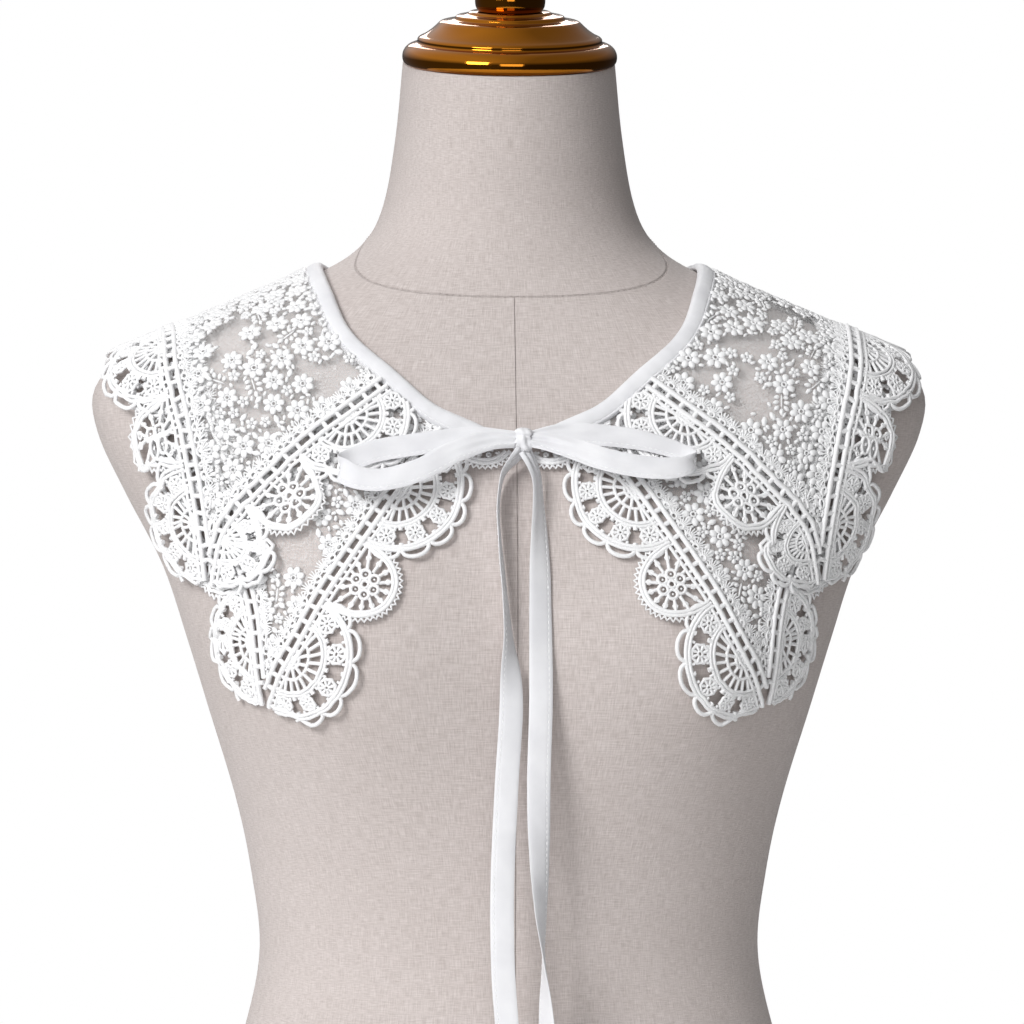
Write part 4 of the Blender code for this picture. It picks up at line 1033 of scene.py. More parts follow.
def buildNet(tierName, region):
    flat, triangles, _ = region
    points = skin.at(flat, netShape["lift"][tierName])
    out = skin.normal(flat)
    corner = np.cross(points[triangles[:, 1]] - points[triangles[:, 0]],
                      points[triangles[:, 2]] - points[triangles[:, 0]])
    wrong = (corner * out[triangles[:, 0]]).sum(1) < 0
    triangles[wrong] = triangles[wrong][:, ::-1]
    made = meshObject(tierName + "SheerNet", points, triangles, net)
    area = np.linalg.norm(corner, axis=1).sum() / 2
    return made, points, out, triangles, area


# Motifs are drawn in millimetres about their own middle and lie on the net
motifShape = {
    "petalRise": 0.62, "rimShare": 0.76, "hollow": 0.4, "under": 6.0,
    "kinds": {"daisy": (5.7, 11.6), "spray": (4.7, 9.6), "blossom": (2.9, 6.2), "leaf": (2.2, 4.3),
              "bud": (1.15, 2.7)},
    # bare patches of net at the front: tier, across, height, half width, half height
    "bare": (("upper", -134, 494, 9, 10), ("upper", -88, 475, 16, 8), ("upper", -117, 493, 5, 5),
             ("upper", -92, 498, 3, 3), ("upper", -139, 482, 3, 4), ("upper", -129, 469, 3, 4),
             ("upper", -123, 457, 2, 4), ("upper", -115, 450, 4, 2), ("upper", 128, 507, 8, 5),
             ("upper", 112, 490, 13, 5), ("upper", 109, 466, 9, 15), ("upper", 88, 475, 8, 4),
             ("upper", 144, 499, 4, 7), ("upper", 132, 485, 3, 4), ("upper", 135, 467, 3, 7),
             ("lower", -103, 400, 11, 28), ("lower", 118, 398, 10, 24)),
    "openShare": 0.58,
    "seed": 7, "tries": 26000,
}


def padOf(points, faces, middle, length, width, turn, sides=8, rise=None, point=0.0):
    # a satin-stitched petal or leaf: raised at its rim and hollow down the middle
    rise = motifShape["petalRise"] if rise is None else rise
    a = np.linspace(0, 2 * math.pi, sides, endpoint=False)
    along = np.cos(a) * length / 2
    across = np.sin(a) * width / 2 * (1 - point * np.abs(np.cos(a)) ** 2)
    ways = np.array([(math.cos(turn), math.sin(turn)), (-math.sin(turn), math.cos(turn))])
    flat = np.stack([along, across], axis=1) @ ways + middle
    rim = np.stack([along * 0.8, across * motifShape["rimShare"]], axis=1) @ ways + middle
    start = len(points)
    points += [(x, y, -0.25) for x, y in flat] + [(x, y, rise) for x, y in rim]
    points += [(middle[0], middle[1], rise * (1 - motifShape["hollow"])), (middle[0], middle[1], -0.25)]
    for k in range(sides):
        n = (k + 1) % sides
        faces += [(start + k, start + n, start + sides + n, start + sides + k),
                  (start + sides + k, start + sides + n, start + 2 * sides),
                  (start + n, start + k, start + 2 * sides + 1)]


def eyelet(points, faces, radius, width, sides=8, rise=0.9):
    start = len(points)
    for k in range(sides):
        a = 2 * math.pi * k / sides
        for reach, up in ((radius - width, 0.0), (radius, rise), (radius + width, 0.0)):
            points.append((reach * math.cos(a), reach * math.sin(a), up))
    for k in range(sides):
        a, b = start + 3 * k, start + 3 * ((k + 1) % sides)
        faces += [(a, a + 1, b + 1, b), (a + 1, a + 2, b + 2, b + 1), (a + 2, a, b, b + 2)]


def motifMesh(kind):
    points, faces = [], []
    if kind == "daisy":
        for k in range(7):
            turn = 2 * math.pi * k / 7
            way = np.array([math.cos(turn), math.sin(turn)])
            padOf(points, faces, way * 3.5, 4.5, 3.5, turn)
        eyelet(points, faces, 1.15, 0.6)
    elif kind == "spray":
        for k, (x, y, turn, size) in enumerate(((0, 4.0, 90, 3.6), (-2.4, 2.2, 140, 3.3), (2.4, 2.2, 40, 3.3),
                                                (-2.7, -0.6, 160, 3.1), (2.7, -0.6, 20, 3.1),
                                                (-2.3, -3.2, 175, 2.7), (2.3, -3.2, 5, 2.7))):
            padOf(points, faces, np.array([x, y]), size * 1.12, 2.4, math.radians(turn), 8, 0.8, 0.45)
        padOf(points, faces, np.array([0, -1.3]), 8.2, 0.8, math.pi / 2, 6, 0.75)
    elif kind == "blossom":
        for k in range(5):
            turn = 2 * math.pi * k / 5 + 0.3
            padOf(points, faces, np.array([math.cos(turn), math.sin(turn)]) * 1.85, 2.7, 2.4, turn, 6, 0.85)
        padOf(points, faces, np.array([0.0, 0.0]), 1.2, 1.2, 0, 6, 1.15)
    elif kind == "leaf":
        padOf(points, faces, np.array([0.0, 0.0]), 5.0, 2.9, 0, 8, 0.8, 0.4)
        padOf(points, faces, np.array([2.4, 1.6]), 3.0, 1.9, 0.9, 6, 0.7, 0.3)
    else:
        padOf(points, faces, np.array([0.0, 0.0]), 3.3, 1.9, 0, 6, 0.7, 0.3)
    mesh = bpy.data.meshes.new(kind)
    mesh.from_pydata((np.array(points) * mm).tolist(), [], faces)
    mesh.materials.append(silk)
    mesh.shade_smooth()
    made = bpy.data.objects.new(kind, mesh)
    scene.collection.objects.link(made)
    return outwards(made)


def motifTree():
    tree, sockets, start, end = nodeGroup("motifsOnNet", (
        ("Motif", "NodeSocketObject", None), ("Motif Size", "NodeSocketFloat", 1.0),
        ("Motif Material", "NodeSocketMaterial", None)))
    motif = node(tree, "GeometryNodeObjectInfo", transform_space="RELATIVE")
    turn = node(tree, "GeometryNodeInputNamedAttribute", data_type="FLOAT_VECTOR")
    turn.inputs["Name"].default_value = "turn"
    size = node(tree, "GeometryNodeInputNamedAttribute", data_type="FLOAT")
    size.inputs["Name"].default_value = "size"
    whole = node(tree, "ShaderNodeMath", operation="MULTIPLY")
    rotation = tree.nodes.new("FunctionNodeEulerToRotation")
    place = tree.nodes.new("GeometryNodeInstanceOnPoints")
    real = tree.nodes.new("GeometryNodeRealizeInstances")
    finish = tree.nodes.new("GeometryNodeSetMaterial")
    link(tree, start.outputs["Motif"], motif.inputs["Object"])
    link(tree, start.outputs["Geometry"], place.inputs["Points"])
    link(tree, motif.outputs["Geometry"], place.inputs["Instance"])
    link(tree, turn.outputs["Attribute"], rotation.inputs["Euler"])
    link(tree, rotation.outputs["Rotation"], place.inputs["Rotation"])
    link(tree, size.outputs["Attribute"], whole.inputs[0])
    link(tree, start.outputs["Motif Size"], whole.inputs[1])
    link(tree, whole.outputs[0], place.inputs["Scale"])
    link(tree, place.outputs["Instances"], real.inputs["Geometry"])
    link(tree, real.outputs["Geometry"], finish.inputs["Geometry"])
    link(tree, start.outputs["Motif Material"], finish.inputs["Material"])
    link(tree, finish.outputs["Geometry"], end.inputs["Geometry"])
    return tree, sockets


motifGroup, motifSockets = motifTree()
motifs = {kind: motifMesh(kind) for kind in motifShape["kinds"]}


def scattered(tierName, points, out, triangles, shapes, chart, above):
    # places for every kind of motif, the largest first, none closer than its own spacing
    rng = np.random.default_rng(motifShape["seed"])
    corner = np.cross(points[triangles[:, 1]] - points[triangles[:, 0]],
                      points[triangles[:, 2]] - points[triangles[:, 0]])
    size = np.linalg.norm(corner, axis=1)
    pick = rng.choice(len(triangles), motifShape["tries"], p=size / size.sum())
    a, b = rng.random((2, motifShape["tries"], 1))
    a, b = np.where(a + b > 1, 1 - a, a), np.where(a + b > 1, 1 - b, b)
    t = triangles[pick]
    mix = lambda field: field[t[:, 0]] + a * (field[t[:, 1]] - field[t[:, 0]]) + b * (field[t[:, 2]] - field[t[:, 0]])
    spots, ways, flat = mix(points), mix(out), mix(chart)
    edge = np.min([clearance(flat, shape) for shape in shapes], axis=0)
    ahead = spots[:, 1] < 0
    wander = np.sin(spots[:, 0] / 19 + 0.7) * np.sin(spots[:, 2] / 17 + spots[:, 1] / 23)
    patches = [patch[1:] for patch in motifShape["bare"] if patch[0] == tierName]
    hidden = np.zeros(len(spots), bool)
    if above is not None:  # plain net lies under the tier above, but for a margin
        hidden = inside(flat, above) & (clearance(flat, above) > motifShape["under"])
    taken, reach, found = np.zeros((0, 3)), np.zeros(0), {}
    for kind, (radius, apart) in motifShape["kinds"].items():
        chosen, more = [], radius * 0.75
        bare = hidden | (~ahead & (wander > motifShape["openShare"]))
        for x, z, halfWide, halfHigh in patches:
            side, up = (spots[:, 0] - x) / (halfWide + more), (spots[:, 2] - z) / (halfHigh + more)
            ragged = 1 + 0.22 * np.sin(3 * np.arctan2(up, side) + x) + 0.15 * np.sin(7 * np.arctan2(up, side) + z)
            bare |= ahead & (np.hypot(side, up) < ragged * 0.95)
        for k in range(len(spots)):
            if bare[k] or edge[k] < radius * 0.75:
                continue
            if len(taken):
                gap = np.linalg.norm(taken - spots[k], axis=1)
                if (gap < reach + radius).any():
                    continue
            if chosen and (np.linalg.norm(spots[chosen] - spots[k], axis=1) < apart).any():
                continue
            chosen.append(k)
        taken = np.vstack([taken, spots[chosen]])
        reach = np.concatenate([reach, np.full(len(chosen), radius * 0.88)])
        turns = []
        for k in chosen:
            base = Vector(ways[k]).to_track_quat("Z", "Y")
            spin = Matrix.Rotation(rng.uniform(0, 2 * math.pi), 3, "Z")
            turns.append((base.to_matrix() @ spin).to_euler()[:])
        found[kind] = (spots[chosen], np.array(turns), rng.uniform(0.92, 1.08, len(chosen)))
    return found


def joinedMesh(name, objects):
    work = bmesh.new()
    for made in objects:
        work.from_mesh(made.data)
        bpy.data.objects.remove(made)
    mesh = bpy.data.meshes.new(name)
    work.to_mesh(mesh)
    work.free()
    mesh.materials.append(silk)
    mesh.shade_smooth()
    made = bpy.data.objects.new(name, mesh)
    scene.collection.objects.link(made)
    return made


def buildEmbroidery(tierName, found):
    pieces = []
    for side, sign in (("Left", 1), ("Right", -1)):
        parts = []
        for kind, (spots, turns, sizes) in found.items():
            here = spots[:, 0] * sign > 0
            mesh = bpy.data.meshes.new(kind + "Places")
            mesh.from_pydata(toScene(spots[here]).tolist(), [], [])
            mesh.attributes.new("turn", "FLOAT_VECTOR", "POINT").data.foreach_set("vector", turns[here].ravel())
            mesh.attributes.new("size", "FLOAT", "POINT").data.foreach_set("value", sizes[here])
            host = bpy.data.objects.new(kind + "Places", mesh)
            scene.collection.objects.link(host)
            applied(host, motifGroup, {motifSockets["Motif"]: motifs[kind], motifSockets["Motif Size"]: 1.0,
                                       motifSockets["Motif Material"]: silk})
            parts.append(host)
        pieces.append(joinedMesh(tierName + "Embroidery" + side, parts))
        pieces[-1].data.calc_loop_triangles()
        print(pieces[-1].name, len(pieces[-1].data.loop_triangles), "triangles")
    return pieces


def dressTier(tierName, region, above=None):
    sheer, points, out, triangles, area = buildNet(tierName, region)
    found = scattered(tierName, points, out, triangles, region[2], region[0], above)
    sewn = buildEmbroidery(tierName, found)
    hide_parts(tierName + "_net")
    for piece in (sheer, *sewn):
        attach(piece, "root")
    return sheer, sewn, area


upperRegion = netRegion(upperTier)
lowerNet, lowerSewn, lowerArea = dressTier("lower", netRegion(lowerTier), upperRegion[2][0])
upperNet, upperSewn, upperArea = dressTier("upper", upperRegion)
for motif in motifs.values():
    bpy.data.objects.remove(motif)
print("nets and embroidery done", round(lowerArea), round(upperArea), "square mm")

# Neck binding: tape folded over the neckline and sewn down


def lofted(name, rings, material, uv, closedEnds=True):
    rings = np.asarray(rings)
    count, sides = rings.shape[:2]
    faces = gridFaces(count, sides, True).tolist()
    points = rings.reshape(-1, 3)
    if closedEnds:
        ends = [rings[0].mean(0), rings[-1].mean(0)]
        points = np.vstack([points, ends])
        first, last = len(points) - 2, len(points) - 1
        faces += [(first, (k + 1) % sides, k) for k in range(sides)]
        faces += [(last, (count - 1) * sides + k, (count - 1) * sides + (k + 1) % sides) for k in range(sides)]
        uv = np.vstack([uv, uv[0], uv[-1]])
    return outwards(meshObject(name, points, faces, material, uv))


def bindingSection():
    half, low, high = bindingShape["width"] / 2, bindingShape["low"], bindingShape["high"]
    ring = np.array([(-half, low + 0.7), (-half + 0.9, high - 0.6), (-0.8, high + 0.15), (half - 2.2, high - 0.2),
                     (half - 1.6, high - 0.75), (half - 1.1, high - 0.3), (half - 0.1, high - 1.5),
                     (half, low + 1.3), (half - 1.2, low), (-half + 1.2, low)])
    for _ in range(2):
        after = np.roll(ring, -1, axis=0)
        ring = np.stack([ring * 0.75 + after * 0.25, ring * 0.25 + after * 0.75], axis=1).reshape(-1, 2)
    return ring


def buildBinding():
    section = bindingSection()
    stations = np.linspace(bindingShape["start"], neckBand.length, bindingShape["stations"])
    right, stitches = [], []
    for s in stations:
        pucker = 1 + 0.035 * math.sin(s / 2.1) + 0.02 * math.sin(s / 0.83 + 1)
        low = bindingShape["low"]
        places = [(s, across) for across, _ in section]
        lift = low + (section[:, 1] - low) * pucker
        right.append(skin.at(neckBand.at(places), lift))
    left = [ring * (-1, 1, 1) for ring in right[:-1]]
    rings = np.array(right + left[::-1])
    around = np.concatenate([[0], np.cumsum(np.linalg.norm(np.diff(section, axis=0), axis=1))])
    along = np.concatenate([[0], np.cumsum(np.linalg.norm(np.diff(rings[:, 0], axis=0), axis=1))])
    uv = np.stack(np.broadcast_arrays(around[None, :], along[:, None]), axis=2).reshape(-1, 2)
    made = lofted("neckBinding", rings, tape, uv)
    seam = bindingShape["width"] / 2 - 1.6
    for s in np.arange(bindingShape["start"] + 1.5, neckBand.length - 1, bindingShape["stitchPitch"]):
        run = [(s, seam), (s + 1.0, seam), (s + 2.0, seam)]
        spots = skin.at(neckBand.at(run), bindingShape["high"] - 0.62 + np.array([-0.25, 0.12, -0.25]))
        stitches += [(spots, 0.2, False), (spots * (-1, 1, 1), 0.2, False)]
    return made, sweepThreads("bindingStitches", stitches, thread, 5), float(along[-1]), float(around[-1])


# Bow: two loops, the knot and two hanging ends of folded tape.
# Loops: across, up from the knot, lift off the form, width. Ends: across, height, quarter turns, lift.
bowShape = {
    "width": 11.0, "thick": 1.2, "lean": 0.35, "knot": (2.5, 444.0), "knotSize": (11.0, 10.0, 12.5),
    "knotLift": 6.0, "stitchIn": 1.7, "stitchPitch": 2.7, "steps": 150, "endSteps": 230,
    "loops": {
        "bow_loop_right": ((-3.6, 1, 9.1, 7), (-22, 1.5, 8.3, 10), (-46, -1.5, 8.7, 11), (-70, -5.5, 9.3, 11),
                           (-80, -9.5, 11.1, 11), (-84.5, -12.5, 15.5, 11), (-80, -16.5, 19.9, 11),
                           (-68, -18.5, 20.5, 11), (-50, -14.5, 20.1, 11), (-31, -5, 17.3, 10.6),
                           (-14, 0, 14.3, 9), (-3.6, 0, 12.9, 7)),
        "bow_loop_left": ((3.6, 1, 9.1, 7), (18, 3, 8.1, 10), (34, 2.6, 7.9, 10.8), (52, 0.6, 8.9, 10),
                          (66, -2.8, 10.0, 9), (75.5, -6.4, 12.0, 8.2), (78.6, -9.2, 14.6, 8),
                          (75.5, -11.8, 17.6, 9), (66, -13.2, 18.9, 10.6), (50, -11.8, 18.6, 11),
                          (36, -8.6, 17.6, 11), (22, -4, 15.4, 10), (11, -1, 13.7, 8.6), (3.6, 0, 12.9, 7)),
    },
    "ends": {
        "tie_end_right": ((2.0, 439.6, 0.45, 11.0), (-2.6, 434.2, 0.70, 9.4), (-6.6, 429, 0.86, 7.8),
                          (-9.2, 416, 0.93, 7.4), (-8.6, 398, 0.93, 7.4), (-6.8, 377, 0.88, 7.0),
                          (-4.6, 352, 0.70, 5.6), (-3.4, 323, 0.12, 3.4), (-5.6, 284, 0.02, 0.0),
                          (-7.6, 236, 0.00, 0.0), (-7.2, 198, -0.05, 0.0), (-5.1, 166, -0.08, 0.0),
                          (-4.2, 122, 0.05, 0.0)),
        "tie_end_left": ((3.2, 439.4, 0.45, 11.0), (6.2, 433.6, 0.66, 9.2), (8.6, 427, 0.74, 7.4),
                         (9.6, 414, 0.66, 6.6), (10.0, 392, 0.40, 5.0), (10.2, 365, 0.20, 3.6),
                         (10.4, 323, 0.05, 3.2), (9.4, 284, 0.08, 0.0), (10.0, 240, 0.45, 0.0),
                         (11.4, 206, 0.95, 0.0), (13.2, 172, 1.45, 0.0), (13.8, 146, 1.75, 0.0),
                         (13.6, 108, 1.95, 0.0)),
    },
}


def tapeRings(centre, facing, half, creases, seamLow, columns=27):
    # a folded tape: a crowned face, a flat back, and rounded edges; creases raise it locally
    ahead = np.gradient(centre, axis=0)
    ahead /= np.linalg.norm(ahead, axis=1)[:, None]
    wide = facing - ahead * (facing * ahead).sum(1)[:, None]
    wide /= np.linalg.norm(wide, axis=1)[:, None]
    out = np.cross(ahead, wide)
    u = np.sin(np.linspace(-math.pi / 2, math.pi / 2, columns))
    thick = bowShape["thick"] / 2 * (1 - np.abs(u) ** 6 * 0.75)
    along = np.concatenate([[0], np.cumsum(np.linalg.norm(np.diff(centre, axis=0), axis=1))])
    lift = creases(along[:, None], u[None, :], along[-1])
    seam = -1 + bowShape["stitchIn"] / bowShape["width"] * 2 if seamLow else 1 - bowShape["stitchIn"] / bowShape["width"] * 2
    thick = thick - 0.22 * np.exp(-((u - seam) / 0.045) ** 2)
    across = half[:, None] * u[None, :]
    front = centre[:, None] + wide[:, None] * across[..., None] + out[:, None] * (lift + thick)[..., None]
    back = centre[:, None] + wide[:, None] * across[..., None] + out[:, None] * (lift - thick)[..., None]
    rings = np.concatenate([front, back[:, ::-1]], axis=1)
    side = np.concatenate([across, across[:, ::-1] + 40], axis=1)
    uv = np.stack([side, np.broadcast_to(along[:, None], side.shape)], axis=2).reshape(-1, 2)
    return rings, uv, along


def stitchRow(rings, along, columns, inset, half, low):
    # small stitches on both faces, a fixed distance in from the lower edge
    strokes = []
    for face in (0, 1):
        row = rings[:, :columns] if face == 0 else rings[:, columns:][:, ::-1]
        other = rings[:, columns:][:, ::-1] if face == 0 else rings[:, :columns]
        u = np.sin(np.linspace(-math.pi / 2, math.pi / 2, columns))
        want = (-1 + inset / half) if low else (1 - inset / half)
        line = np.array([[np.interp(w, u, row[k, :, c]) for c in range(3)] for k, w in enumerate(want)])
        under = np.array([[np.interp(w, u, other[k, :, c]) for c in range(3)] for k, w in enumerate(want)])
        out = line - under
        out /= np.maximum(np.linalg.norm(out, axis=1), 1e-6)[:, None]
        for s in np.arange(5, along[-1] - 5, bowShape["stitchPitch"]):
            spots = np.array([[np.interp(s + d, along, line[:, c] + out[:, c] * up) for c in range(3)]
                              for d, up in ((0, -0.1), (0.75, 0.13), (1.5, -0.1))])
            strokes.append((spots, 0.2, False))
    return strokes


def buildLoop(name, rows):
    knotX, knotZ = bowShape["knot"]
    rows = [(knotX + x, -skin.frontDepth(knotX + x, knotZ + z) - lift, knotZ + z, wide)
            for x, z, lift, wide in rows]
    rows = smoothRows(rows, bowShape["steps"])
    centre = rows[:, :3]
    way = 1 if name.endswith("left") else -1

    def creases(s, u, end):
        near = np.exp(-s / 13) + np.exp(-(end - s) / 16)
        folds = 0.55 * np.sin(2.6 * math.pi * u + 0.6) * near + 0.35 * np.sin(5 * u - s / 5 * way) * near
        ripples = 0.16 * np.sin(s / 5.3 + 1.6 * u) * np.sin(s / 13.0 + 0.5) + 0.10 * np.sin(s / 2.9 - 2.2 * u)
        cup = 0.35 * (u**2 - 0.5) * np.clip(np.minimum(s, end - s) / 25, 0, 1)
        return folds + ripples - cup

    facing = np.broadcast_to(np.array([0, bowShape["lean"], 1.0]), centre.shape)
    half = rows[:, 3] / 2
    rings, uv, along = tapeRings(centre, facing, half, creases, True)
    made = lofted(name.replace("_", " ").title().replace(" ", ""), rings, tape, uv)
    return made, stitchRow(rings, along, 27, bowShape["stitchIn"], half, True), float(along[-1])


def buildEnd(name, rows):
    rows = smoothRows(rows, bowShape["endSteps"])
    deepest, centre = 0.0, []
    for x, z, _, lift in rows:
        deepest = max(deepest, skin.frontDepth(x, z) + lift)
        centre.append((x, -deepest, z))
    centre = np.array(centre)
    kernel = np.ones(9) / 9
    centre[:, 1] = np.convolve(np.pad(centre[:, 1], 4, mode="edge"), kernel, "valid")
    turns = rows[:, 2] * math.pi / 2
    facing = np.stack([np.cos(turns), np.sin(turns), np.zeros(len(turns))], axis=1)

    def creases(s, u, end):
        near = np.exp(-s / 16)
        return (0.45 * np.sin(2.4 * math.pi * u + 0.4) * near + 0.12 * np.sin(s / 9.0 + 1.3 * u)
                + 0.07 * np.sin(s / 3.7 - 2 * u) + 0.25 * (0.5 - u**2))

    half = bowShape["width"] / 2 * np.clip(0.72 + np.arange(len(rows)) / 26, 0, 1)
    rings, uv, along = tapeRings(centre, facing, half, creases, name.endswith("right"))
    made = lofted(name.replace("_", " ").title().replace(" ", ""), rings, tape, uv)
    return made, stitchRow(rings, along, 27, bowShape["stitchIn"], half, name.endswith("right")), float(along[-1])


def buildKnot():
    wide, deep, tall = bowShape["knotSize"]
    x, z = bowShape["knot"]
    depth = skin.frontDepth(x, z) + bowShape["knotLift"] + deep / 2
    turns = np.linspace(0, 2 * math.pi, 96, endpoint=False)
    rings, uv = [], []
    for share in np.sin(np.linspace(-math.pi / 2 * 0.98, math.pi / 2 * 0.98, 60)) * 0.985:
        swell = (1 - abs(share) ** 4) ** 0.5
        across = 0.5 * np.sin(turns * 1.0 + 3.3 * share) * (1 - share**2)
        fold = (0.42 * np.sin(7 * turns + 2.6 * share) * (1 - 0.5 * abs(share))
                + 0.35 * np.sin(3 * turns - 5.0 * share + 1.0) + across)
        dent = 0.8 * np.exp(-((share - 0.35) / 0.12) ** 2) * np.clip(-np.sin(turns - 0.5), 0, 1)
        reach = (1 - (0.85 - fold * 0.9 + dent) / 5.5) * swell
        rings.append(np.stack([x + wide / 2 * reach * np.cos(turns), -depth + deep / 2 * reach * np.sin(turns),
                               np.full(96, z + tall / 2 * 0.94 * share) + 0.3 * np.sin(2 * turns) * swell], axis=1))
        uv += [(turn * 5, share * 6) for turn in turns]
    return lofted("BowKnot", rings, tape, np.array(uv))


binding, bindingStitches, bindingLength, bindingRound = buildBinding()
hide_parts("neck_binding")
knot = buildKnot()
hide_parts("bow_knot")
bowPieces, bowStitches, tapeLengths = {}, [], {}
for name, rows in bowShape["loops"].items():
    bowPieces[name], strokes, tapeLengths[name] = buildLoop(name, rows)
    bowStitches += strokes
for name, rows in bowShape["ends"].items():
    bowPieces[name], strokes, tapeLengths[name] = buildEnd(name, rows)
    bowStitches += strokes
for name, piece in bowPieces.items():
    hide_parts(name)
bowSewing = sweepThreads("bowStitches", bowStitches, thread, 4)
for piece in (binding, bindingStitches, knot, bowSewing, *bowPieces.values()):
    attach(piece, "root")
print("binding and bow done", {name: round(length) for name, length in tapeLengths.items()})

# Stitches along the form's neck seam
seamShape = {"pitch": 3.1, "long": 1.7, "radius": 0.27}


def buildSeamStitches():
    fall, level = seamPlace["neckFall"], seamPlace["neckHeight"]
    spots = []
    for points in skin.points:
        over = points[:, 2] - (points[:, 1] - boxMiddle[1]) * fall - level
        k = int(np.argmin(np.abs(over)))
        spots.append(points[k])
    line = evenly(np.array(spots), 2400)
    along = np.linspace(0, lengthOf(line), len(line))
    strokes = []
    for s in np.arange(0, along[-1] - seamShape["long"], seamShape["pitch"]):
        run = np.array([[np.interp(s + d, along, line[:, c]) for c in range(3)]
                        for d in np.linspace(0, seamShape["long"], 3)])
        out = skin.normal(skin.chartOf(run))
        strokes.append((run + out * np.array([[-0.2], [0.12], [-0.2]]), seamShape["radius"], False))
    return sweepThreads("neckSeamStitches", strokes, linen, 5)


seamStitches = buildSeamStitches()
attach(seamStitches, "root")


# Floor, lights and camera
studio = {
    "pale": (0.9, 0.9, 0.9), "floor": 1.1, "world": 0.9, "horizon": 0.12, "shade": 0.36,
    "key": 31.0, "fill": 6.0, "back": 10.0,
    "azimuth": -2.3, "distance": 2.0, "target": (0.0, 0.0, 0.4106), "frame": 0.502, "shiftX": 0.003,
}


def buildFloor():
    # a round pale floor that fades into the white surroundings at its rim
    radius = studio["floor"]
    mesh = bpy.data.meshes.new("floor")
    points = [(radius * math.cos(a), radius * math.sin(a), 0) for a in np.linspace(0, 2 * math.pi, 97)[:-1]]
    mesh.from_pydata(points, [], [tuple(range(len(points)))])
    made, tree, shader = newMaterial("paleFloor")
    shader.inputs["Base Color"].default_value = (*studio["pale"], 1)
    shader.inputs["Roughness"].default_value = 0.9
    place = tree.nodes.new("ShaderNodeTexCoord")
    reach = tree.nodes.new("ShaderNodeVectorMath")
    reach.operation = "LENGTH"
    tree.links.new(place.outputs["Object"], reach.inputs[0])
    fade = ramp(tree, reach.outputs["Value"], ((0.45, (0, 0, 0)), (0.97 * radius / 1.2, (1, 1, 1))))
    glow = tree.nodes.new("ShaderNodeEmission")
    glow.inputs["Color"].default_value = (1, 1, 1, 1)
    mixed = tree.nodes.new("ShaderNodeMixShader")
    ray = tree.nodes.new("ShaderNodeLightPath")
    seen = tree.nodes.new("ShaderNodeMath")
    seen.operation = "MULTIPLY"
    tree.links.new(fade, seen.inputs[0])
    tree.links.new(ray.outputs["Is Camera Ray"], seen.inputs[1])
    tree.links.new(seen.outputs[0], mixed.inputs[0])
    tree.links.new(shader.outputs[0], mixed.inputs[1])
    tree.links.new(glow.outputs[0], mixed.inputs[2])
    output = next(n for n in tree.nodes if n.type == "OUTPUT_MATERIAL")
    tree.links.new(mixed.outputs[0], output.inputs["Surface"])
    mesh.materials.append(made)
    floor = bpy.data.objects.new("floor", mesh)
    scene.collection.objects.link(floor)


def areaLight(name, place, aim, size, power):
    data = bpy.data.lights.new(name, "AREA")
    data.shape = "RECTANGLE"
    data.size, data.size_y = size
    data.energy = power
    lamp = bpy.data.objects.new(name, data)
    lamp.location = place
    lamp.rotation_euler = (Vector(aim) - Vector(place)).to_track_quat("-Z", "Y").to_euler()
    lamp.visible_camera = False
    scene.collection.objects.link(lamp)


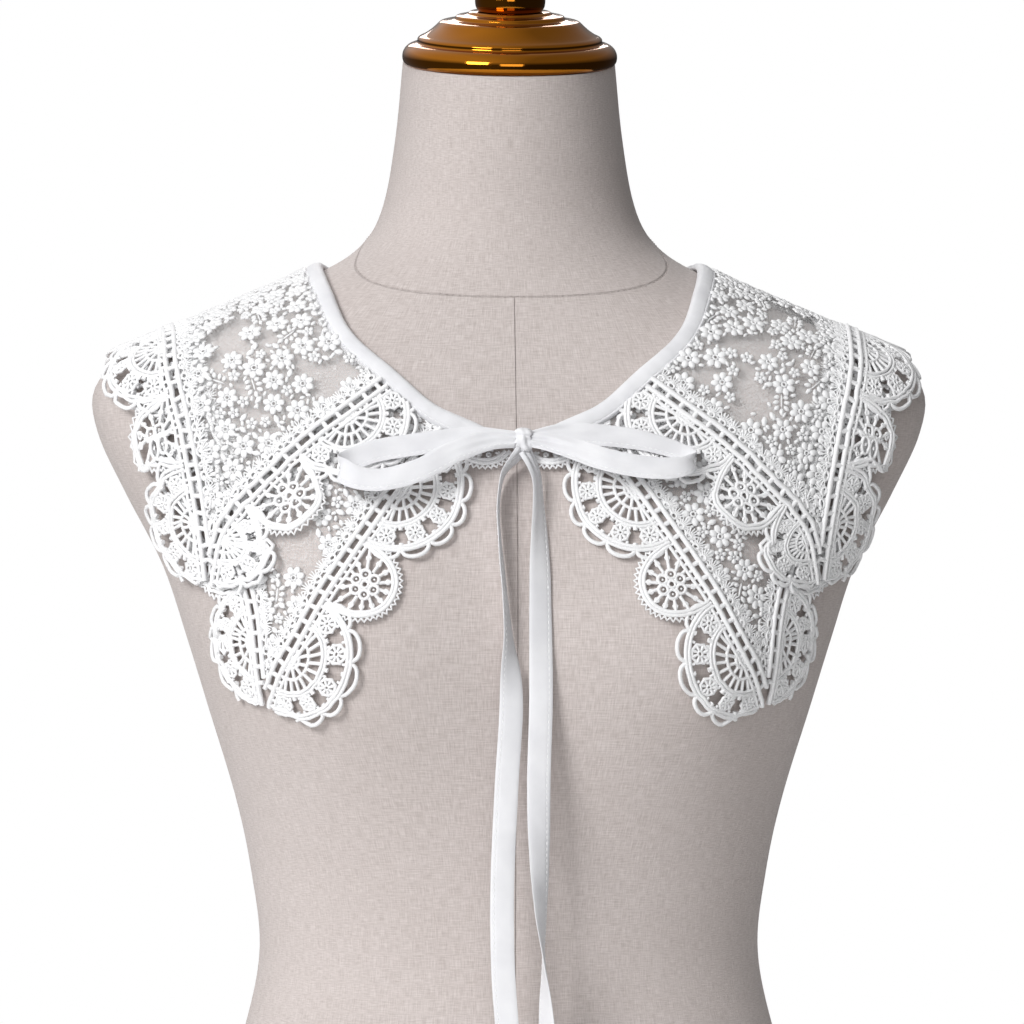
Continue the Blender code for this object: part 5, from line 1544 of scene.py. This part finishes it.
buildFloor()
world = bpy.data.worlds.new("studio")
world.use_nodes = True
overhead = world.node_tree.nodes.new("ShaderNodeTexCoord")
heights = world.node_tree.nodes.new("ShaderNodeSeparateXYZ")
world.node_tree.links.new(overhead.outputs["Generated"], heights.inputs[0])
low, shade = (studio["horizon"],) * 3, (studio["shade"],) * 3
sky = ramp(world.node_tree, heights.outputs["Z"], ((0.12, low), (0.5, (1.0, 1.0, 1.0))))
sideways = world.node_tree.nodes.new("ShaderNodeMapRange")
sideways.inputs["From Min"].default_value = -0.5
sideways.inputs["From Max"].default_value = 0.5
world.node_tree.links.new(heights.outputs["X"], sideways.inputs["Value"])
leftward = ramp(world.node_tree, sideways.outputs["Result"], ((0.1, (1.0, 1.0, 1.0)), (0.8, shade)))
both = world.node_tree.nodes.new("ShaderNodeMix")
both.data_type, both.blend_type = "RGBA", "MULTIPLY"
both.inputs["Factor"].default_value = 1
world.node_tree.links.new(sky, both.inputs[6])
world.node_tree.links.new(leftward, both.inputs[7])
ray = world.node_tree.nodes.new("ShaderNodeLightPath")
plain = world.node_tree.nodes.new("ShaderNodeBackground")
plain.inputs["Color"].default_value = (1, 1, 1, 1)
soft = world.node_tree.nodes["Background"]
soft.inputs["Strength"].default_value = studio["world"]
either = world.node_tree.nodes.new("ShaderNodeMixShader")
world.node_tree.links.new(both.outputs[2], soft.inputs["Color"])
world.node_tree.links.new(ray.outputs["Is Camera Ray"], either.inputs[0])
world.node_tree.links.new(soft.outputs[0], either.inputs[1])
world.node_tree.links.new(plain.outputs[0], either.inputs[2])
world.node_tree.links.new(either.outputs[0], world.node_tree.nodes["World Output"].inputs["Surface"])
scene.world = world
scene.view_settings.view_transform = "Standard"
areaLight("key", (-1.15, -1.6, 1.2), (0, 0, 0.42), (0.8, 0.7), studio["key"])
areaLight("fill", (0.0, -2.2, 0.8), (0, 0, 0.42), (0.9, 0.7), studio["fill"])
areaLight("behind", (0.0, 2.0, 1.8), (0, 0, 0.42), (0.9, 0.8), studio["back"])

turn = math.radians(studio["azimuth"])
target = Vector(studio["target"])
place = target + Vector((math.sin(turn), -math.cos(turn), 0)) * studio["distance"]
cameraData = bpy.data.cameras.new("camera")
cameraData.sensor_width = 36.0
cameraData.lens = 36.0 * studio["distance"] / studio["frame"]
cameraData.shift_x = studio["shiftX"]
camera = bpy.data.objects.new("camera", cameraData)
camera.location = place
camera.rotation_euler = (target - place).to_track_quat("-Z", "Y").to_euler()
scene.collection.objects.link(camera)
scene.camera = camera
